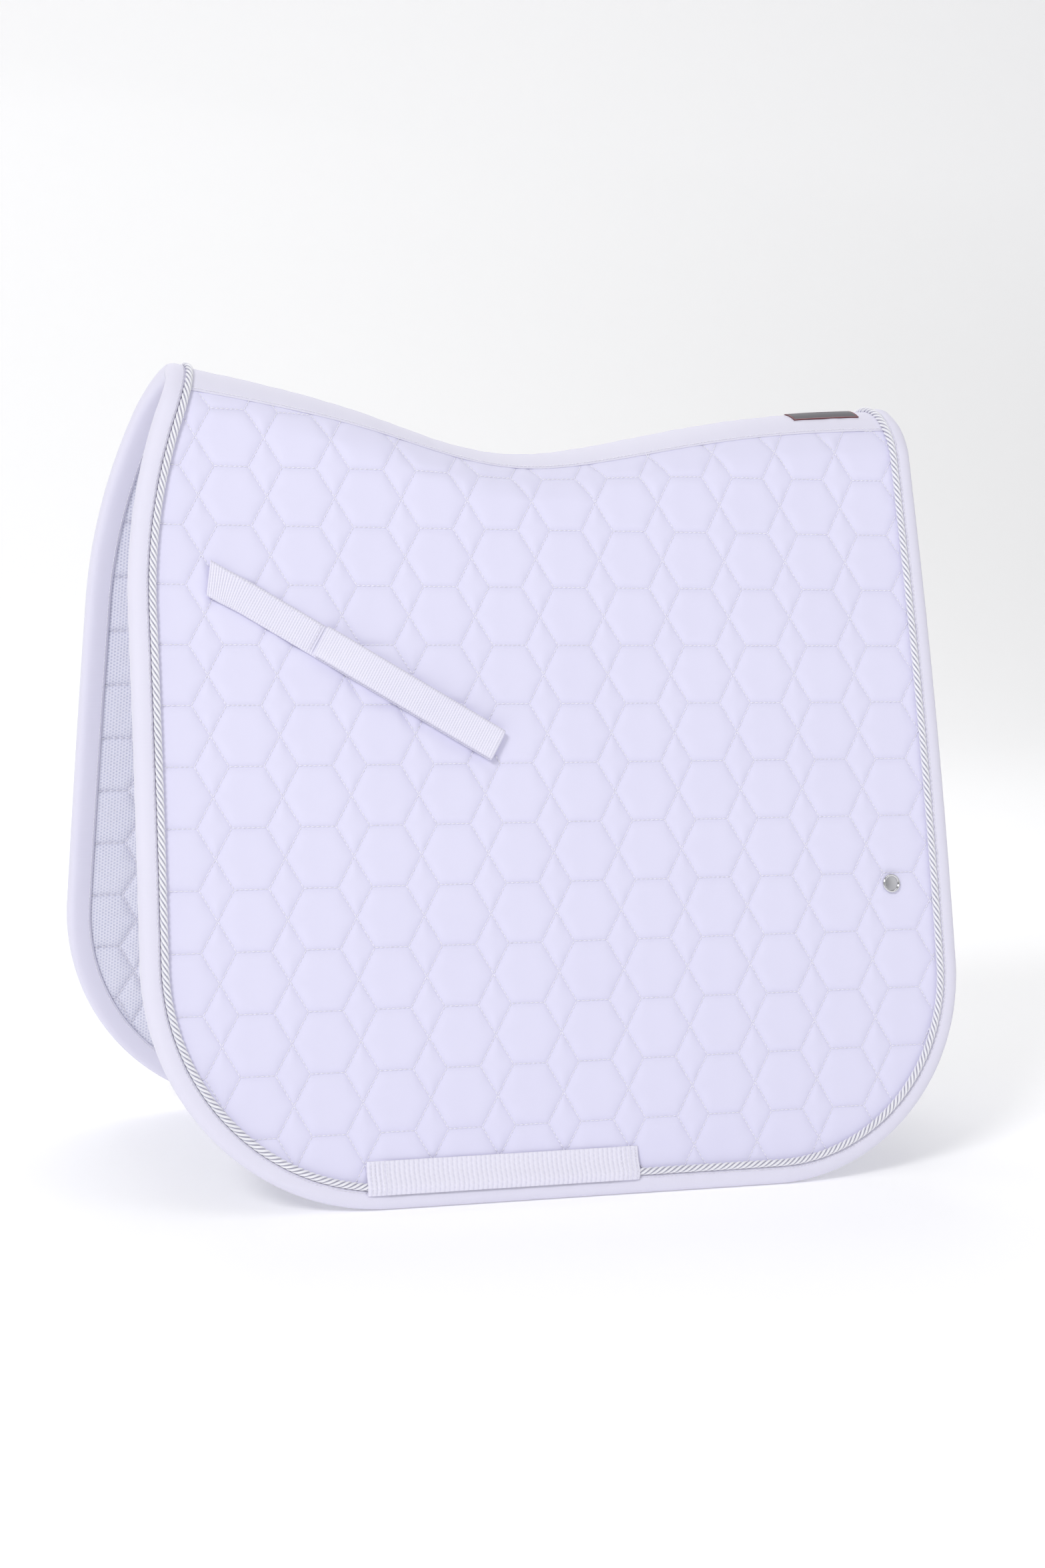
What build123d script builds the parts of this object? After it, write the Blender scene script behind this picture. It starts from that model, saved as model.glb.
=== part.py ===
"""Quilted dressage saddle pad: two padded flaps joined at a shaped spine, with edge binding, twisted piping,
girth loops, hook-and-loop keeper straps, a woven label and a metal badge.

Frame: +X towards the tail, -Y the horse's left (near) side, +Z up. The origin is the underside of the spine
at its lowest point, where the pad sits on the horse's back.

The pad is a stack of thin layers. A layer's place in the stack is its depth: 0 is the outer face of the
quilted fabric, positive depths go in towards the horse and negative depths stand out from it. Each flap is
one long arc in section, and the top is a saddle-shaped arch that follows the spine's dip.
"""

from build123d import *
from math import cos, radians, sin, tan
import os

os.makedirs("parts", exist_ok=True)

# --- overall sizes -----------------------------------------------------------------------------------------
front_reach = 318.0        # front edge ahead of the spine's lowest point
rear_reach = 336.0         # rear edge behind it
hem_drop = 537.5           # hem below the origin
front_corner_r = 180.0     # rounded lower front corner
rear_corner_r = 160.0      # rounded lower rear corner
front_lean = 26.4          # degrees that the front edge leans back near the withers
front_lean_r = 423.0       # radius of that bend
front_lean_height = -11.0  # height of its corner point
front_taper = 3.5          # how much further forward the front corner is than that corner point
rear_lean = 9.0            # how much further back the rear corner is than the rear edge at the origin
outline_top = 249.0        # the outline is drawn up to here, well above the crest

# --- section through a flap --------------------------------------------------------------------------------
hinge_height = -45.0       # line that each flap folds along
hinge_half_width = 69.8    # outer face's distance from the middle there
flap_slope = 17.1          # degrees from vertical there
flap_r = 3500.0            # the flap's gentle outward curve
flap_below_hem = 70.0      # spare length that the outline trims off
fold_up = 70.0             # degrees that a flap folds up from rest

# --- the arch over the horse's spine -----------------------------------------------------------------------
arch_rise = 35.0           # the crest above the end of the straight side
crest_handle = 0.50        # shape of the arch, as shares of its half width and rise
side_handle = 0.45
# the crest's height above the dip at shares of the front reach (negative) and the rear reach (positive)
crest_line = [(-1.0, 68.5), (-0.63, 48.3), (-0.35, 26.3), (-0.16, 7.6), (0.015, 0.0),
              (0.18, 5.8), (0.39, 20.3), (0.64, 34.3), (1.08, 43.3)]
crest_sections = 16        # the arch is lofted through evenly spaced sections, so that it can't swing between them

# --- layers ------------------------------------------------------------------------------------------------
shell_t = 1.2              # quilted outer fabric
foam_t = 8.0               # foam and wadding
mesh_t = 2.2               # spacer-mesh lining
tape_t = 1.2               # edge binding, spine binding and lining tape
label_t = 0.6
layer_gap = 0.15           # between layers that are sewn together
move_gap = 0.4             # between pieces that move against each other
stack_t = shell_t + foam_t + mesh_t + 2 * layer_gap

# --- trim --------------------------------------------------------------------------------------------------
binding_outside = 13.0     # width of edge binding on the outer face
binding_inside = 18.0      # and on the lining
piping_d = 5.8             # twisted piping cord
spine_binding_half = 38.0  # spine binding, each side of the middle
lining_tape_half = 17.0
seam_gap = 0.2             # between the two panels along the spine
label_l = 57.0             # woven label, along the spine
label_to_x = rear_reach - 43.0
label_from_x = label_to_x - label_l
label_from_y, label_to_y = -21.0, -1.0

# --- girth loop --------------------------------------------------------------------------------------------
web_t = 1.7                # strap webbing
web_w = 25.0
girth_l = 212.0            # length of the loop
girth_front_x = -front_reach + 163.0
girth_rear_x = girth_front_x + girth_l
girth_hem_gap = 11.0       # lower edge of the loop above the hem
girth_foot = 14.0          # sewn end of the loop
tack_t, tack_w, tack_count, tack_pitch = 0.7, 1.2, 3, 4.5

# --- keeper strap ------------------------------------------------------------------------------------------
keeper_x = -front_reach + 169.5    # middle of the strap
keeper_drop = 103.0        # and its distance down the flap from the fold line
keeper_angle = 30.9        # degrees down towards the rear
keeper_length = 250.0
keeper_closed_at = 94.0    # sewn length ahead of the closing end's tip
keeper_lift = 0.8          # underside above the flap, enough for the flap's curve
tape_w, tape_length, tape_strip_t = 21.0, 60.0, 0.9
stitch_t, stitch_w, stitch_inset = 0.4, 0.8, 2.0

# --- badge -------------------------------------------------------------------------------------------------
badge_x, badge_drop = rear_reach - 57.3, 278.0
badge_r, badge_t, badge_rim = 7.4, 2.2, 0.7
post_r, post_clearance = 1.5, 0.25
washer_r, washer_t = 6.0, 0.8

# --- worked out from these ---------------------------------------------------------------------------------
slope = radians(flap_slope)
binding_reach = tape_t + layer_gap           # the binding stands this far off the layers it wraps
axis_depth = stack_t / 2                     # the flap folds about the middle of its thickness
flap_end = (hem_drop + hinge_height + flap_below_hem) / flap_r     # the section's arc, in radians
top_start = axis_depth + binding_reach + move_gap               # the top's lower edge above the fold line
piping_start = axis_depth + layer_gap + piping_d + move_gap     # and its piping's lower end
# the flap's piping starts this far down, so that it clears the top's edge when the flap is folded up
flap_piping_start = top_start * sin(radians(fold_up)) - (top_start - move_gap) * cos(radians(fold_up))
piping_inset = binding_outside + layer_gap
trim_inset = piping_inset + piping_d + layer_gap
span = 4 * rear_reach                        # a cutting block this long reaches past every face
left, right = -1, 1


def flap_point(side: int, run: float, depth: float) -> Vector:
    """Point in a section, run mm down the flap's outer face from the fold line and depth mm in from it."""
    angle = slope - run / flap_r
    y = hinge_half_width - flap_r * cos(slope) + (flap_r - depth) * cos(angle)
    z = hinge_height - flap_r * sin(slope) + (flap_r - depth) * sin(angle)
    return Vector(side * y, z)


def flap_plane(side: int, x: float, run: float, turn: float = 0.0) -> Plane:
    """Plane on a flap's outer face, its normal pointing out and its x direction turned down from +X."""
    point = flap_point(side, run, 0)
    angle = slope - run / flap_r
    down = Vector(0, side * sin(angle), -cos(angle))
    along = Vector(1, 0, 0) * cos(radians(turn)) + down * sin(radians(turn))
    return Plane(origin=(x, point.X, point.Y), x_dir=along, z_dir=(0, side * cos(angle), sin(angle)))


def outline_prism(inset: float) -> Part:
    """Everything inside the pad's side outline, taken in by inset, right through from side to side."""
    lean = radians(front_lean)
    top_z = outline_top
    bend = (-front_reach + front_taper, front_lean_height)
    top_front = (bend[0] + (top_z - front_lean_height) * tan(lean), top_z)
    top_rear = (rear_reach - rear_lean * (top_z + hem_drop) / hem_drop, top_z)
    with BuildPart() as prism:
        with BuildSketch(Plane.XZ) as side_view:
            with BuildLine():
                FilletPolyline(top_front, bend, (-front_reach, -hem_drop), (rear_reach, -hem_drop), top_rear,
                               radius=[front_lean_r, front_corner_r, rear_corner_r])
                Line(top_rear, top_front)
            make_face()
            if inset:
                offset(amount=-inset, kind=Kind.INTERSECTION, mode=Mode.REPLACE)
        extrude(amount=span / 2, both=True)
    return prism.part


def flap_slab(side: int, outer: float, inner: float, run_from: float = 0.0, nose: bool = False) -> Part:
    """A layer of one flap between two depths, from run_from below the fold line to past the hem.

    With a nose, the top edge is rounded about the fold line, so that it turns inside its own thickness.
    """
    run_mid, run_to = flap_end * flap_r / 2, flap_end * flap_r
    with BuildPart() as slab:
        with BuildSketch(Plane.YZ):
            with BuildLine():
                ThreePointArc(*(flap_point(side, run, outer) for run in (run_from, run_mid, run_to)))
                Line(flap_point(side, run_to, outer), flap_point(side, run_to, inner))
                ThreePointArc(*(flap_point(side, run, inner) for run in (run_to, run_mid, run_from)))
                Line(flap_point(side, run_from, inner), flap_point(side, run_from, outer))
            make_face()
            if nose:
                middle = flap_point(side, 0, (outer + inner) / 2)
                with Locations((middle.X, middle.Y)):
                    Circle((inner - outer) / 2)
        extrude(amount=span / 2, both=True)
    return slab.part


with BuildLine() as crest:
    Spline(*((share * (rear_reach if share > 0 else front_reach), rise) for share, rise in crest_line))
crest_stations = [crest.line @ (k / crest_sections) for k in range(crest_sections + 1)]


def top_slab(outer: float, inner: float, start: float) -> Part:
    """A layer of the top between two depths, over the crest from one flap's fold line to the other's.

    Its lower edges stand start mm above the fold lines.
    """
    normal, up = Vector(cos(slope), sin(slope)), Vector(-sin(slope), cos(slope))

    def half_line(crest: float, depth: float) -> list[Vector]:
        """Lower end, end of the straight side, two handles and the crest, on the right-hand side."""
        side_end_z = crest - arch_rise
        foot = Vector(hinge_half_width, hinge_height)
        side_end = foot + up * ((side_end_z - hinge_height) / cos(slope))
        low, end = foot + up * start - normal * depth, side_end - normal * depth
        handle_up = end + up * (side_handle * (arch_rise - depth * (1 - sin(slope))))
        return [low, end, handle_up, Vector(crest_handle * end.X, crest - depth), Vector(0, crest - depth)]

    def mirrored(points: list[Vector]) -> list[Vector]:
        """The same points on the left-hand side."""
        return [Vector(-point.X, point.Y) for point in points]

    with BuildPart() as slab:
        for station in crest_stations:
            over, under = (half_line(stack_t + station.Y, depth) for depth in (outer, inner))
            over_left, under_left = mirrored(over), mirrored(under)
            with BuildSketch(Plane.YZ.offset(station.X)):
                with BuildLine():
                    Line(over[0], over[1])
                    Bezier(*over[1:])
                    Bezier(*over_left[:0:-1])
                    Line(over_left[1], over_left[0])
                    Line(over_left[0], under_left[0])
                    Line(under_left[0], under_left[1])
                    Bezier(*under_left[1:])
                    Bezier(*under[:0:-1])
                    Line(under[1], under[0])
                    Line(under[0], over[0])
                make_face()
        loft()
    return slab.part


inside_outline = {inset: outline_prism(inset) for inset in
                  (0, tape_t, binding_reach, binding_outside, binding_inside, piping_inset,
                   piping_inset + piping_d, trim_inset)}


def trimmed(slab: Part, inset: float, inner_inset: float | None = None) -> Part:
    """The part of a layer inside the outline at inset and, if given, outside the outline at inner_inset."""
    with BuildPart() as piece:
        add(slab)
        add(inside_outline[inset], mode=Mode.INTERSECT)
        if inner_inset is not None:
            add(inside_outline[inner_inset], mode=Mode.SUBTRACT)
    return piece.part


def edge_binding(slab_of) -> Part:
    """Tape folded round the quilt's edge, cut from the layers that slab_of gives for two depths."""
    whole = trimmed(slab_of(-binding_reach, stack_t + binding_reach), 0)
    quilt = trimmed(slab_of(-layer_gap, stack_t + layer_gap), tape_t)
    outer_face = trimmed(slab_of(-2 * binding_reach, stack_t / 2), binding_outside)
    inner_face = trimmed(slab_of(stack_t / 2, stack_t + 2 * binding_reach), binding_inside)
    with BuildPart() as tape:
        add(whole)
        for waste in (quilt, outer_face, inner_face):
            add(waste, mode=Mode.SUBTRACT)
    return tape.part


def finish(piece: Part, name: str) -> None:
    """Label a finished piece and write it to its own file."""
    piece.label = name
    export_step(piece, f"parts/{name}.step")


shell_at = (0, shell_t)
foam_at = (shell_t + layer_gap, shell_t + layer_gap + foam_t)
mesh_at = (stack_t - mesh_t, stack_t)
piping_at = (-layer_gap - piping_d, -layer_gap)

# --- the top: it rests on the horse's spine ----------------------------------------------------------------
for name, depths in (("top_outer_shell", shell_at), ("top_foam_core", foam_at), ("top_mesh_lining", mesh_at)):
    both_panels = trimmed(top_slab(*depths, top_start), binding_reach)
    with BuildPart() as panel_top:
        add(both_panels)
        Box(span, seam_gap, span, mode=Mode.SUBTRACT)
    finish(panel_top.part, name)

top_tapes = edge_binding(lambda outer, inner: top_slab(outer, inner, top_start))
top_cords = trimmed(top_slab(*piping_at, piping_start), piping_inset, piping_inset + piping_d)
for both_ends, name in ((top_tapes, "binding"), (top_cords, "piping")):
    for end, half in zip(("front", "rear"), both_ends.solids().sort_by(Axis.X)):
        with BuildPart() as top_edge:
            add(half)
        finish(top_edge.part, f"top_{end}_{name}")

spine_cover = trimmed(top_slab(-binding_reach, -layer_gap, top_start), trim_inset)
with BuildPart() as spine_binding:
    add(spine_cover)
    Box(span, 2 * spine_binding_half, span, mode=Mode.INTERSECT)
finish(spine_binding.part, "spine_binding")

spine_lining = trimmed(top_slab(stack_t + layer_gap, stack_t + binding_reach, top_start), trim_inset)
with BuildPart() as spine_lining_tape:
    add(spine_lining)
    Box(span, 2 * lining_tape_half, span, mode=Mode.INTERSECT)
finish(spine_lining_tape.part, "spine_lining_tape")

label_layer = top_slab(-binding_reach - layer_gap - label_t, -binding_reach - layer_gap, top_start)
with BuildPart() as woven_label:
    add(label_layer)
    with Locations(((label_from_x + label_to_x) / 2, (label_from_y + label_to_y) / 2, 0)):
        Box(label_to_x - label_from_x, label_to_y - label_from_y, span, mode=Mode.INTERSECT)
finish(woven_label.part, "woven_label")

# --- the flaps and what is sewn to them --------------------------------------------------------------------
keeper_top = keeper_lift + web_t
stitch_z = keeper_top + layer_gap
hook_strip_z = stitch_z + tape_strip_t + move_gap
closure_z = hook_strip_z + tape_strip_t + layer_gap
fold_z = (keeper_lift + closure_z + web_t) / 2               # the closing end folds about this height
fold_outer_r = closure_z + web_t - fold_z
fold_inner_r = closure_z - fold_z
keeper_half = keeper_length / 2
fold_x = keeper_half - fold_outer_r
closure_tip_x = -keeper_half + keeper_closed_at
strip_x = closure_tip_x + stitch_inset + tape_length / 2
seam_x = (-keeper_half + closure_tip_x - stitch_inset) / 2    # middle of the sewn end's stitching
seam_length = keeper_closed_at - 3 * stitch_inset
across = web_w - 2 * stitch_inset

hem_run = (hem_drop + hinge_height) / cos(slope - flap_end / 2)
girth_run = hem_run - girth_hem_gap - web_w / 2               # middle of the webbing, down the flap
girth_over = layer_gap + piping_d + layer_gap                 # its underside clears the piping
girth_half = (girth_rear_x - girth_front_x) / 2
girth_foot_w = girth_hem_gap + web_w - piping_inset - piping_d - layer_gap - 1

for side, hand in ((left, "left"), (right, "right")):
    badge_plane = flap_plane(side, badge_x, badge_drop)
    for name, depths, nose in (("outer_shell", shell_at, False), ("foam_core", foam_at, True),
                               ("mesh_lining", mesh_at, False)):
        panel_layer = trimmed(flap_slab(side, *depths, nose=nose), binding_reach)
        with BuildPart() as panel:
            add(panel_layer)
            if side == left:
                with BuildSketch(badge_plane):
                    Circle(post_r + post_clearance)
                extrude(amount=2 * stack_t, both=True, mode=Mode.SUBTRACT)
        finish(panel.part, f"{hand}_{name}")

    flap_tape = edge_binding(lambda outer, inner, side=side: flap_slab(side, outer, inner))
    finish(flap_tape, f"{hand}_edge_binding")
    flap_cord = flap_slab(side, *piping_at, run_from=flap_piping_start)
    finish(trimmed(flap_cord, piping_inset, piping_inset + piping_d), f"{hand}_piping")

    # girth loop: webbing that passes over the piping, turned in and sewn down at both ends
    girth_plane = flap_plane(side, (girth_front_x + girth_rear_x) / 2, girth_run)
    uphill = 1 if girth_plane.y_dir.Z > 0 else -1
    with BuildPart() as girth_loop:
        with BuildSketch(girth_plane.offset(girth_over)):
            Rectangle(2 * girth_half, web_w)
        extrude(amount=web_t)
        with BuildSketch(girth_plane.offset(layer_gap)):
            with Locations((0, uphill * (web_w - girth_foot_w) / 2)):
                with GridLocations(2 * girth_half - girth_foot, 1, 2, 1):
                    Rectangle(girth_foot, girth_foot_w)
        extrude(amount=girth_over - layer_gap)
    finish(girth_loop.part, f"{hand}_girth_loop")

    tack_span = (tack_count - 1) * tack_pitch
    with BuildPart() as girth_tacks:
        with BuildSketch(girth_plane.offset(girth_over + web_t + layer_gap)):
            with GridLocations(2 * girth_half - tack_span - 2 * stitch_inset, 1, 2, 1):
                with GridLocations(tack_pitch, 1, tack_count, 1):
                    Rectangle(tack_w, across)
        extrude(amount=tack_t)
    finish(girth_tacks.part, f"{hand}_girth_tacks")

    # keeper strap: a sewn base, and a closing end that folds back over it and fastens with hook and loop tape
    keeper_plane = flap_plane(side, keeper_x, keeper_drop, keeper_angle)
    base_end_x = fold_x - fold_outer_r - move_gap
    with BuildPart() as keeper_base:
        with BuildSketch(keeper_plane.offset(keeper_lift)):
            with Locations(((base_end_x - keeper_half) / 2, 0)):
                Rectangle(base_end_x + keeper_half, web_w)
        extrude(amount=web_t)
    finish(keeper_base.part, f"{hand}_keeper_base")

    with BuildPart() as keeper_stitching:
        with BuildSketch(keeper_plane.offset(stitch_z)):
            with Locations((seam_x, 0)):
                Rectangle(seam_length, across)
                Rectangle(seam_length - 2 * stitch_w, across - 2 * stitch_w, mode=Mode.SUBTRACT)
        extrude(amount=stitch_t)
    finish(keeper_stitching.part, f"{hand}_keeper_stitching")

    for name, height in (("loop", stitch_z), ("hook", hook_strip_z)):
        with BuildPart() as fastening_tape:
            with BuildSketch(keeper_plane.offset(height)):
                with Locations((strip_x, 0)):
                    Rectangle(tape_length, tape_w)
            extrude(amount=tape_strip_t)
        finish(fastening_tape.part, f"{hand}_keeper_{name}_tape")

    fold_plane = Plane(origin=keeper_plane.from_local_coords((fold_x, 0, fold_z)), x_dir=keeper_plane.x_dir,
                       z_dir=-keeper_plane.y_dir)
    with BuildPart() as keeper_closure:
        with BuildSketch(keeper_plane.offset(closure_z)):
            with Locations(((closure_tip_x + fold_x) / 2, 0)):
                Rectangle(fold_x - closure_tip_x, web_w)
        extrude(amount=web_t)
        with BuildSketch(fold_plane):
            Circle(fold_outer_r)
            Circle(fold_inner_r, mode=Mode.SUBTRACT)
            with Locations((fold_outer_r / 2, fold_outer_r / 2)):
                Rectangle(fold_outer_r, fold_outer_r, mode=Mode.INTERSECT)
        extrude(amount=web_w / 2, both=True)
    finish(keeper_closure.part, f"{hand}_keeper_closure")


# --- badge: a domed stud, held by a washer on the lining side ----------------------------------------------
badge_plane = flap_plane(left, badge_x, badge_drop)
with BuildPart() as badge_cap:
    with BuildSketch(badge_plane.offset(layer_gap)):
        Circle(badge_r)
    extrude(amount=badge_t)
    rim_face = badge_cap.faces().sort_by(Axis(badge_plane.origin, badge_plane.z_dir))[-1]
    fillet(rim_face.edges(), badge_rim)
    with BuildSketch(badge_plane.offset(layer_gap)):
        Circle(post_r)
    extrude(amount=-(stack_t + 2 * layer_gap + washer_t))
finish(badge_cap.part, "badge_cap")

with BuildPart() as badge_washer:
    with BuildSketch(badge_plane.offset(-stack_t - layer_gap)):
        Circle(washer_r)
        Circle(post_r + post_clearance, mode=Mode.SUBTRACT)
    extrude(amount=-washer_t)
finish(badge_washer.part, "badge_washer")
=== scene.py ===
"""Looks of a quilted dressage saddle pad: two padded panels, folded edge binding, twisted piping, straps and badge.

Every piece is cloth, cord or thread laid on one form, the same surface that the frame was designed on. A place on
the form is (x, w, depth) in millimetres: x along the horse, w down the side from the line where a flap folds, and
depth in from the outer face. Sizes are in millimetres until a mesh is made, in metres.
"""
import logging
import math
from collections.abc import Callable
from dataclasses import dataclass, field
from enum import Enum
from functools import cached_property, lru_cache

import bpy
import numpy as np
from mathutils import Matrix, Vector


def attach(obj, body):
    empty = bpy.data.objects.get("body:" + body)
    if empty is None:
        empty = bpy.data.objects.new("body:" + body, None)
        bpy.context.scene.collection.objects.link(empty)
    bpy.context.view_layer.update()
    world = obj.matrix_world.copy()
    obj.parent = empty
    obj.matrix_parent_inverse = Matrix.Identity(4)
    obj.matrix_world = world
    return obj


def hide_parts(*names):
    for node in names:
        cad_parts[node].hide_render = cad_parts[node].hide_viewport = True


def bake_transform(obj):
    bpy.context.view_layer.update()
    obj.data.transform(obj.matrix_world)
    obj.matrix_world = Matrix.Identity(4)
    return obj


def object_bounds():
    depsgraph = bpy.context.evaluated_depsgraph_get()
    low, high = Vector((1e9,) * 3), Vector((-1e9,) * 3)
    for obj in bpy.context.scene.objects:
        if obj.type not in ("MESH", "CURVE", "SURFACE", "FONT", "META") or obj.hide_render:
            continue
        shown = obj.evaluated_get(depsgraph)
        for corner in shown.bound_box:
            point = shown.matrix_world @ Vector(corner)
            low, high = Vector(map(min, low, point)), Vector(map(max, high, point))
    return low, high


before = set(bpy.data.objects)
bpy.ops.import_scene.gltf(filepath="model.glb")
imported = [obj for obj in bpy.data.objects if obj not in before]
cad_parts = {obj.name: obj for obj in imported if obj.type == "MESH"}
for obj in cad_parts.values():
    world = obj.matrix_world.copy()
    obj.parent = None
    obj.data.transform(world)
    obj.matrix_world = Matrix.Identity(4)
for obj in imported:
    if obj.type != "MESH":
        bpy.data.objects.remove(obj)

LOG = logging.getLogger("saddle_pad")
CAD_BOX = [list(corner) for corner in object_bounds()]
MM = 0.001
CLOTH_MAP = "cloth"
SEAM_SHADE = "seam_shade"
Array = np.ndarray


class Side(Enum):
    """The horse's left and right; the value is the sign of y."""

    LEFT = -1
    RIGHT = 1

    @property
    def word(self) -> str:
        """The side's name as the nodes and bodies spell it."""
        return self.name.lower()

    @property
    def flap(self) -> str:
        """The body that this side's flap belongs to."""
        return f"{self.word}_flap"


class Face(Enum):
    """The two faces of the quilt."""

    OUTSIDE = "outside"
    LINING = "lining"


# --- the form that the cloth lies on ------------------------------------------------------------------------
def smoothstep(value: Array | float) -> Array:
    """A smooth ramp from 0 to 1 as value goes from 0 to 1."""
    t = np.clip(value, 0.0, 1.0)
    return t * t * (3 - 2 * t)


def rounded_path(corners: list[tuple[float, float]], radii: list[float], step: float) -> Array:
    """A polyline with its inner corners rounded.

    Args:
        corners: the path's corner points, its two ends included.
        radii: one radius for each inner corner.
        step: spacing of the points on each round stretch.

    Returns:
        The points, N x 2.
    """
    points = [np.array(corners[0], float)]
    for before, corner, after, radius in zip(corners, corners[1:], corners[2:], radii):
        at = np.array(corner, float)
        back, ahead = (np.array(p, float) - at for p in (before, after))
        back, ahead = back / np.linalg.norm(back), ahead / np.linalg.norm(ahead)
        half = math.acos(float(back @ ahead)) / 2
        middle = at + (back + ahead) / np.linalg.norm(back + ahead) * radius / math.sin(half)
        start, end = (at + way * radius / math.tan(half) - middle for way in (back, ahead))
        turn = math.pi - 2 * half
        count = max(2, round(turn * radius / step))
        for k in range(count + 1):
            share = k / count
            points.append(middle + (start * math.sin((1 - share) * turn) + end * math.sin(share * turn)) / math.sin(turn))
    points.append(np.array(corners[-1], float))
    return np.array(points)


@dataclass(frozen=True)
class PadForm:
    """The pad's surface and outline, with the same driving sizes as the frame's solids."""

    front_reach: float = 318.0
    rear_reach: float = 336.0
    hem_drop: float = 537.5
    front_corner: float = 180.0
    rear_corner: float = 160.0
    front_lean: float = 26.4
    front_lean_radius: float = 423.0
    front_lean_height: float = -11.0
    front_taper: float = 3.5
    rear_lean: float = 9.0
    outline_top: float = 249.0
    fold_height: float = -45.0
    fold_half_width: float = 69.8
    slope: float = math.radians(17.1)
    bow: float = 3500.0
    arch_rise: float = 35.0
    crest_handle: float = 0.50
    side_handle: float = 0.45
    thickness: float = 11.7
    crest_line: tuple[tuple[float, float], ...] = (
        (-1.0, 68.5), (-0.63, 48.3), (-0.35, 26.3), (-0.16, 7.6), (0.015, 0.0),
        (0.18, 5.8), (0.39, 20.3), (0.64, 34.3), (1.08, 43.3))
    top_w: float = -140.0      # w of the crest all along the pad

    @cached_property
    def crest_curve(self) -> tuple[Array, Array, Array]:
        """Stations, crest rises and curvatures of the natural cubic through the crest line."""
        x = np.array([s * (self.rear_reach if s > 0 else self.front_reach) for s, _ in self.crest_line])
        z = np.array([rise for _, rise in self.crest_line])
        gap, n = np.diff(x), len(x)
        system, right = np.eye(n), np.zeros(n)
        for k in range(1, n - 1):
            system[k, k - 1:k + 2] = gap[k - 1], 2 * (gap[k - 1] + gap[k]), gap[k]
            right[k] = 6 * ((z[k + 1] - z[k]) / gap[k] - (z[k] - z[k - 1]) / gap[k - 1])
        return x, z, np.linalg.solve(system, right)

    def rise(self, x: float) -> float:
        """Height of the crest's underside above its lowest point, at x."""
        at, z, bend = self.crest_curve
        k = int(np.clip(np.searchsorted(at, x) - 1, 0, len(at) - 2))
        gap, a, b = at[k + 1] - at[k], at[k + 1] - x, x - at[k]
        cubic = (bend[k] * a ** 3 + bend[k + 1] * b ** 3) / (6 * gap)
        return float(cubic + (z[k] / gap - bend[k] * gap / 6) * a + (z[k + 1] / gap - bend[k + 1] * gap / 6) * b)

    @lru_cache(maxsize=None)
    def arch(self, x: float) -> tuple[Array, Array, Array, Array, Array]:
        """Section of the top at x, from the crest down to the fold line.

        Args:
            x: the section's station.

        Returns:
            Run (minus the distance up from the fold line), y, z and the outward normal's y and z.
        """
        crest = self.thickness + self.rise(x)
        up = np.array([-math.sin(self.slope), math.cos(self.slope)])
        foot = np.array([self.fold_half_width, self.fold_height])
        side_end = foot + up * (crest - self.arch_rise - self.fold_height) / math.cos(self.slope)
        handles = (side_end, side_end + up * self.side_handle * self.arch_rise,
                   np.array([self.crest_handle * side_end[0], crest]), np.array([0.0, crest]))
        t = np.linspace(1, 0, 49)[:, None]
        weights = ((1 - t) ** 3, 3 * t * (1 - t) ** 2, 3 * t ** 2 * (1 - t), t ** 3)
        points = np.vstack([sum(weight * handle for weight, handle in zip(weights, handles)), foot])
        lengths = np.linalg.norm(np.diff(points, axis=0), axis=1)
        run = np.concatenate([[0.0], np.cumsum(lengths)]) - lengths.sum()
        along = np.gradient(points, run, axis=0)
        along[0] = (1.0, 0.0)
        along /= np.linalg.norm(along, axis=1)[:, None]
        return run, points[:, 0], points[:, 1], -along[:, 1], along[:, 0]

    @cached_property
    def crest_runs(self) -> tuple[Array, Array]:
        """Stations and the distance up from the fold line to the crest there."""
        x = np.arange(-self.front_reach - 40, self.rear_reach + 40, 2.0)
        return x, np.array([-self.arch(float(at))[0][0] for at in x])

    def climb(self, x: Array | float) -> Array:
        """Distance from the fold line up to the crest, at x."""
        return np.interp(x, *self.crest_runs)

    def run_of(self, x: Array, w: Array) -> Array:
        """Distance down the outer face from the fold line of a place (x, w)."""
        return np.where(w < 0, w * self.climb(x) / -self.top_w, w)

    def w_of(self, x: Array, run: Array) -> Array:
        """The w of a place, from its distance down from the fold line."""
        return np.where(run < 0, run * -self.top_w / self.climb(x), run)

    def run_at_height(self, z: Array | float) -> Array:
        """Distance down a flap's outer face at height z."""
        rise = (np.asarray(z) - self.fold_height) / self.bow + math.sin(self.slope)
        return (self.slope - np.arcsin(rise)) * self.bow

    @property
    def hem_run(self) -> float:
        """Distance from the fold line down to the hem."""
        return float(self.run_at_height(-self.hem_drop))

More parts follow.
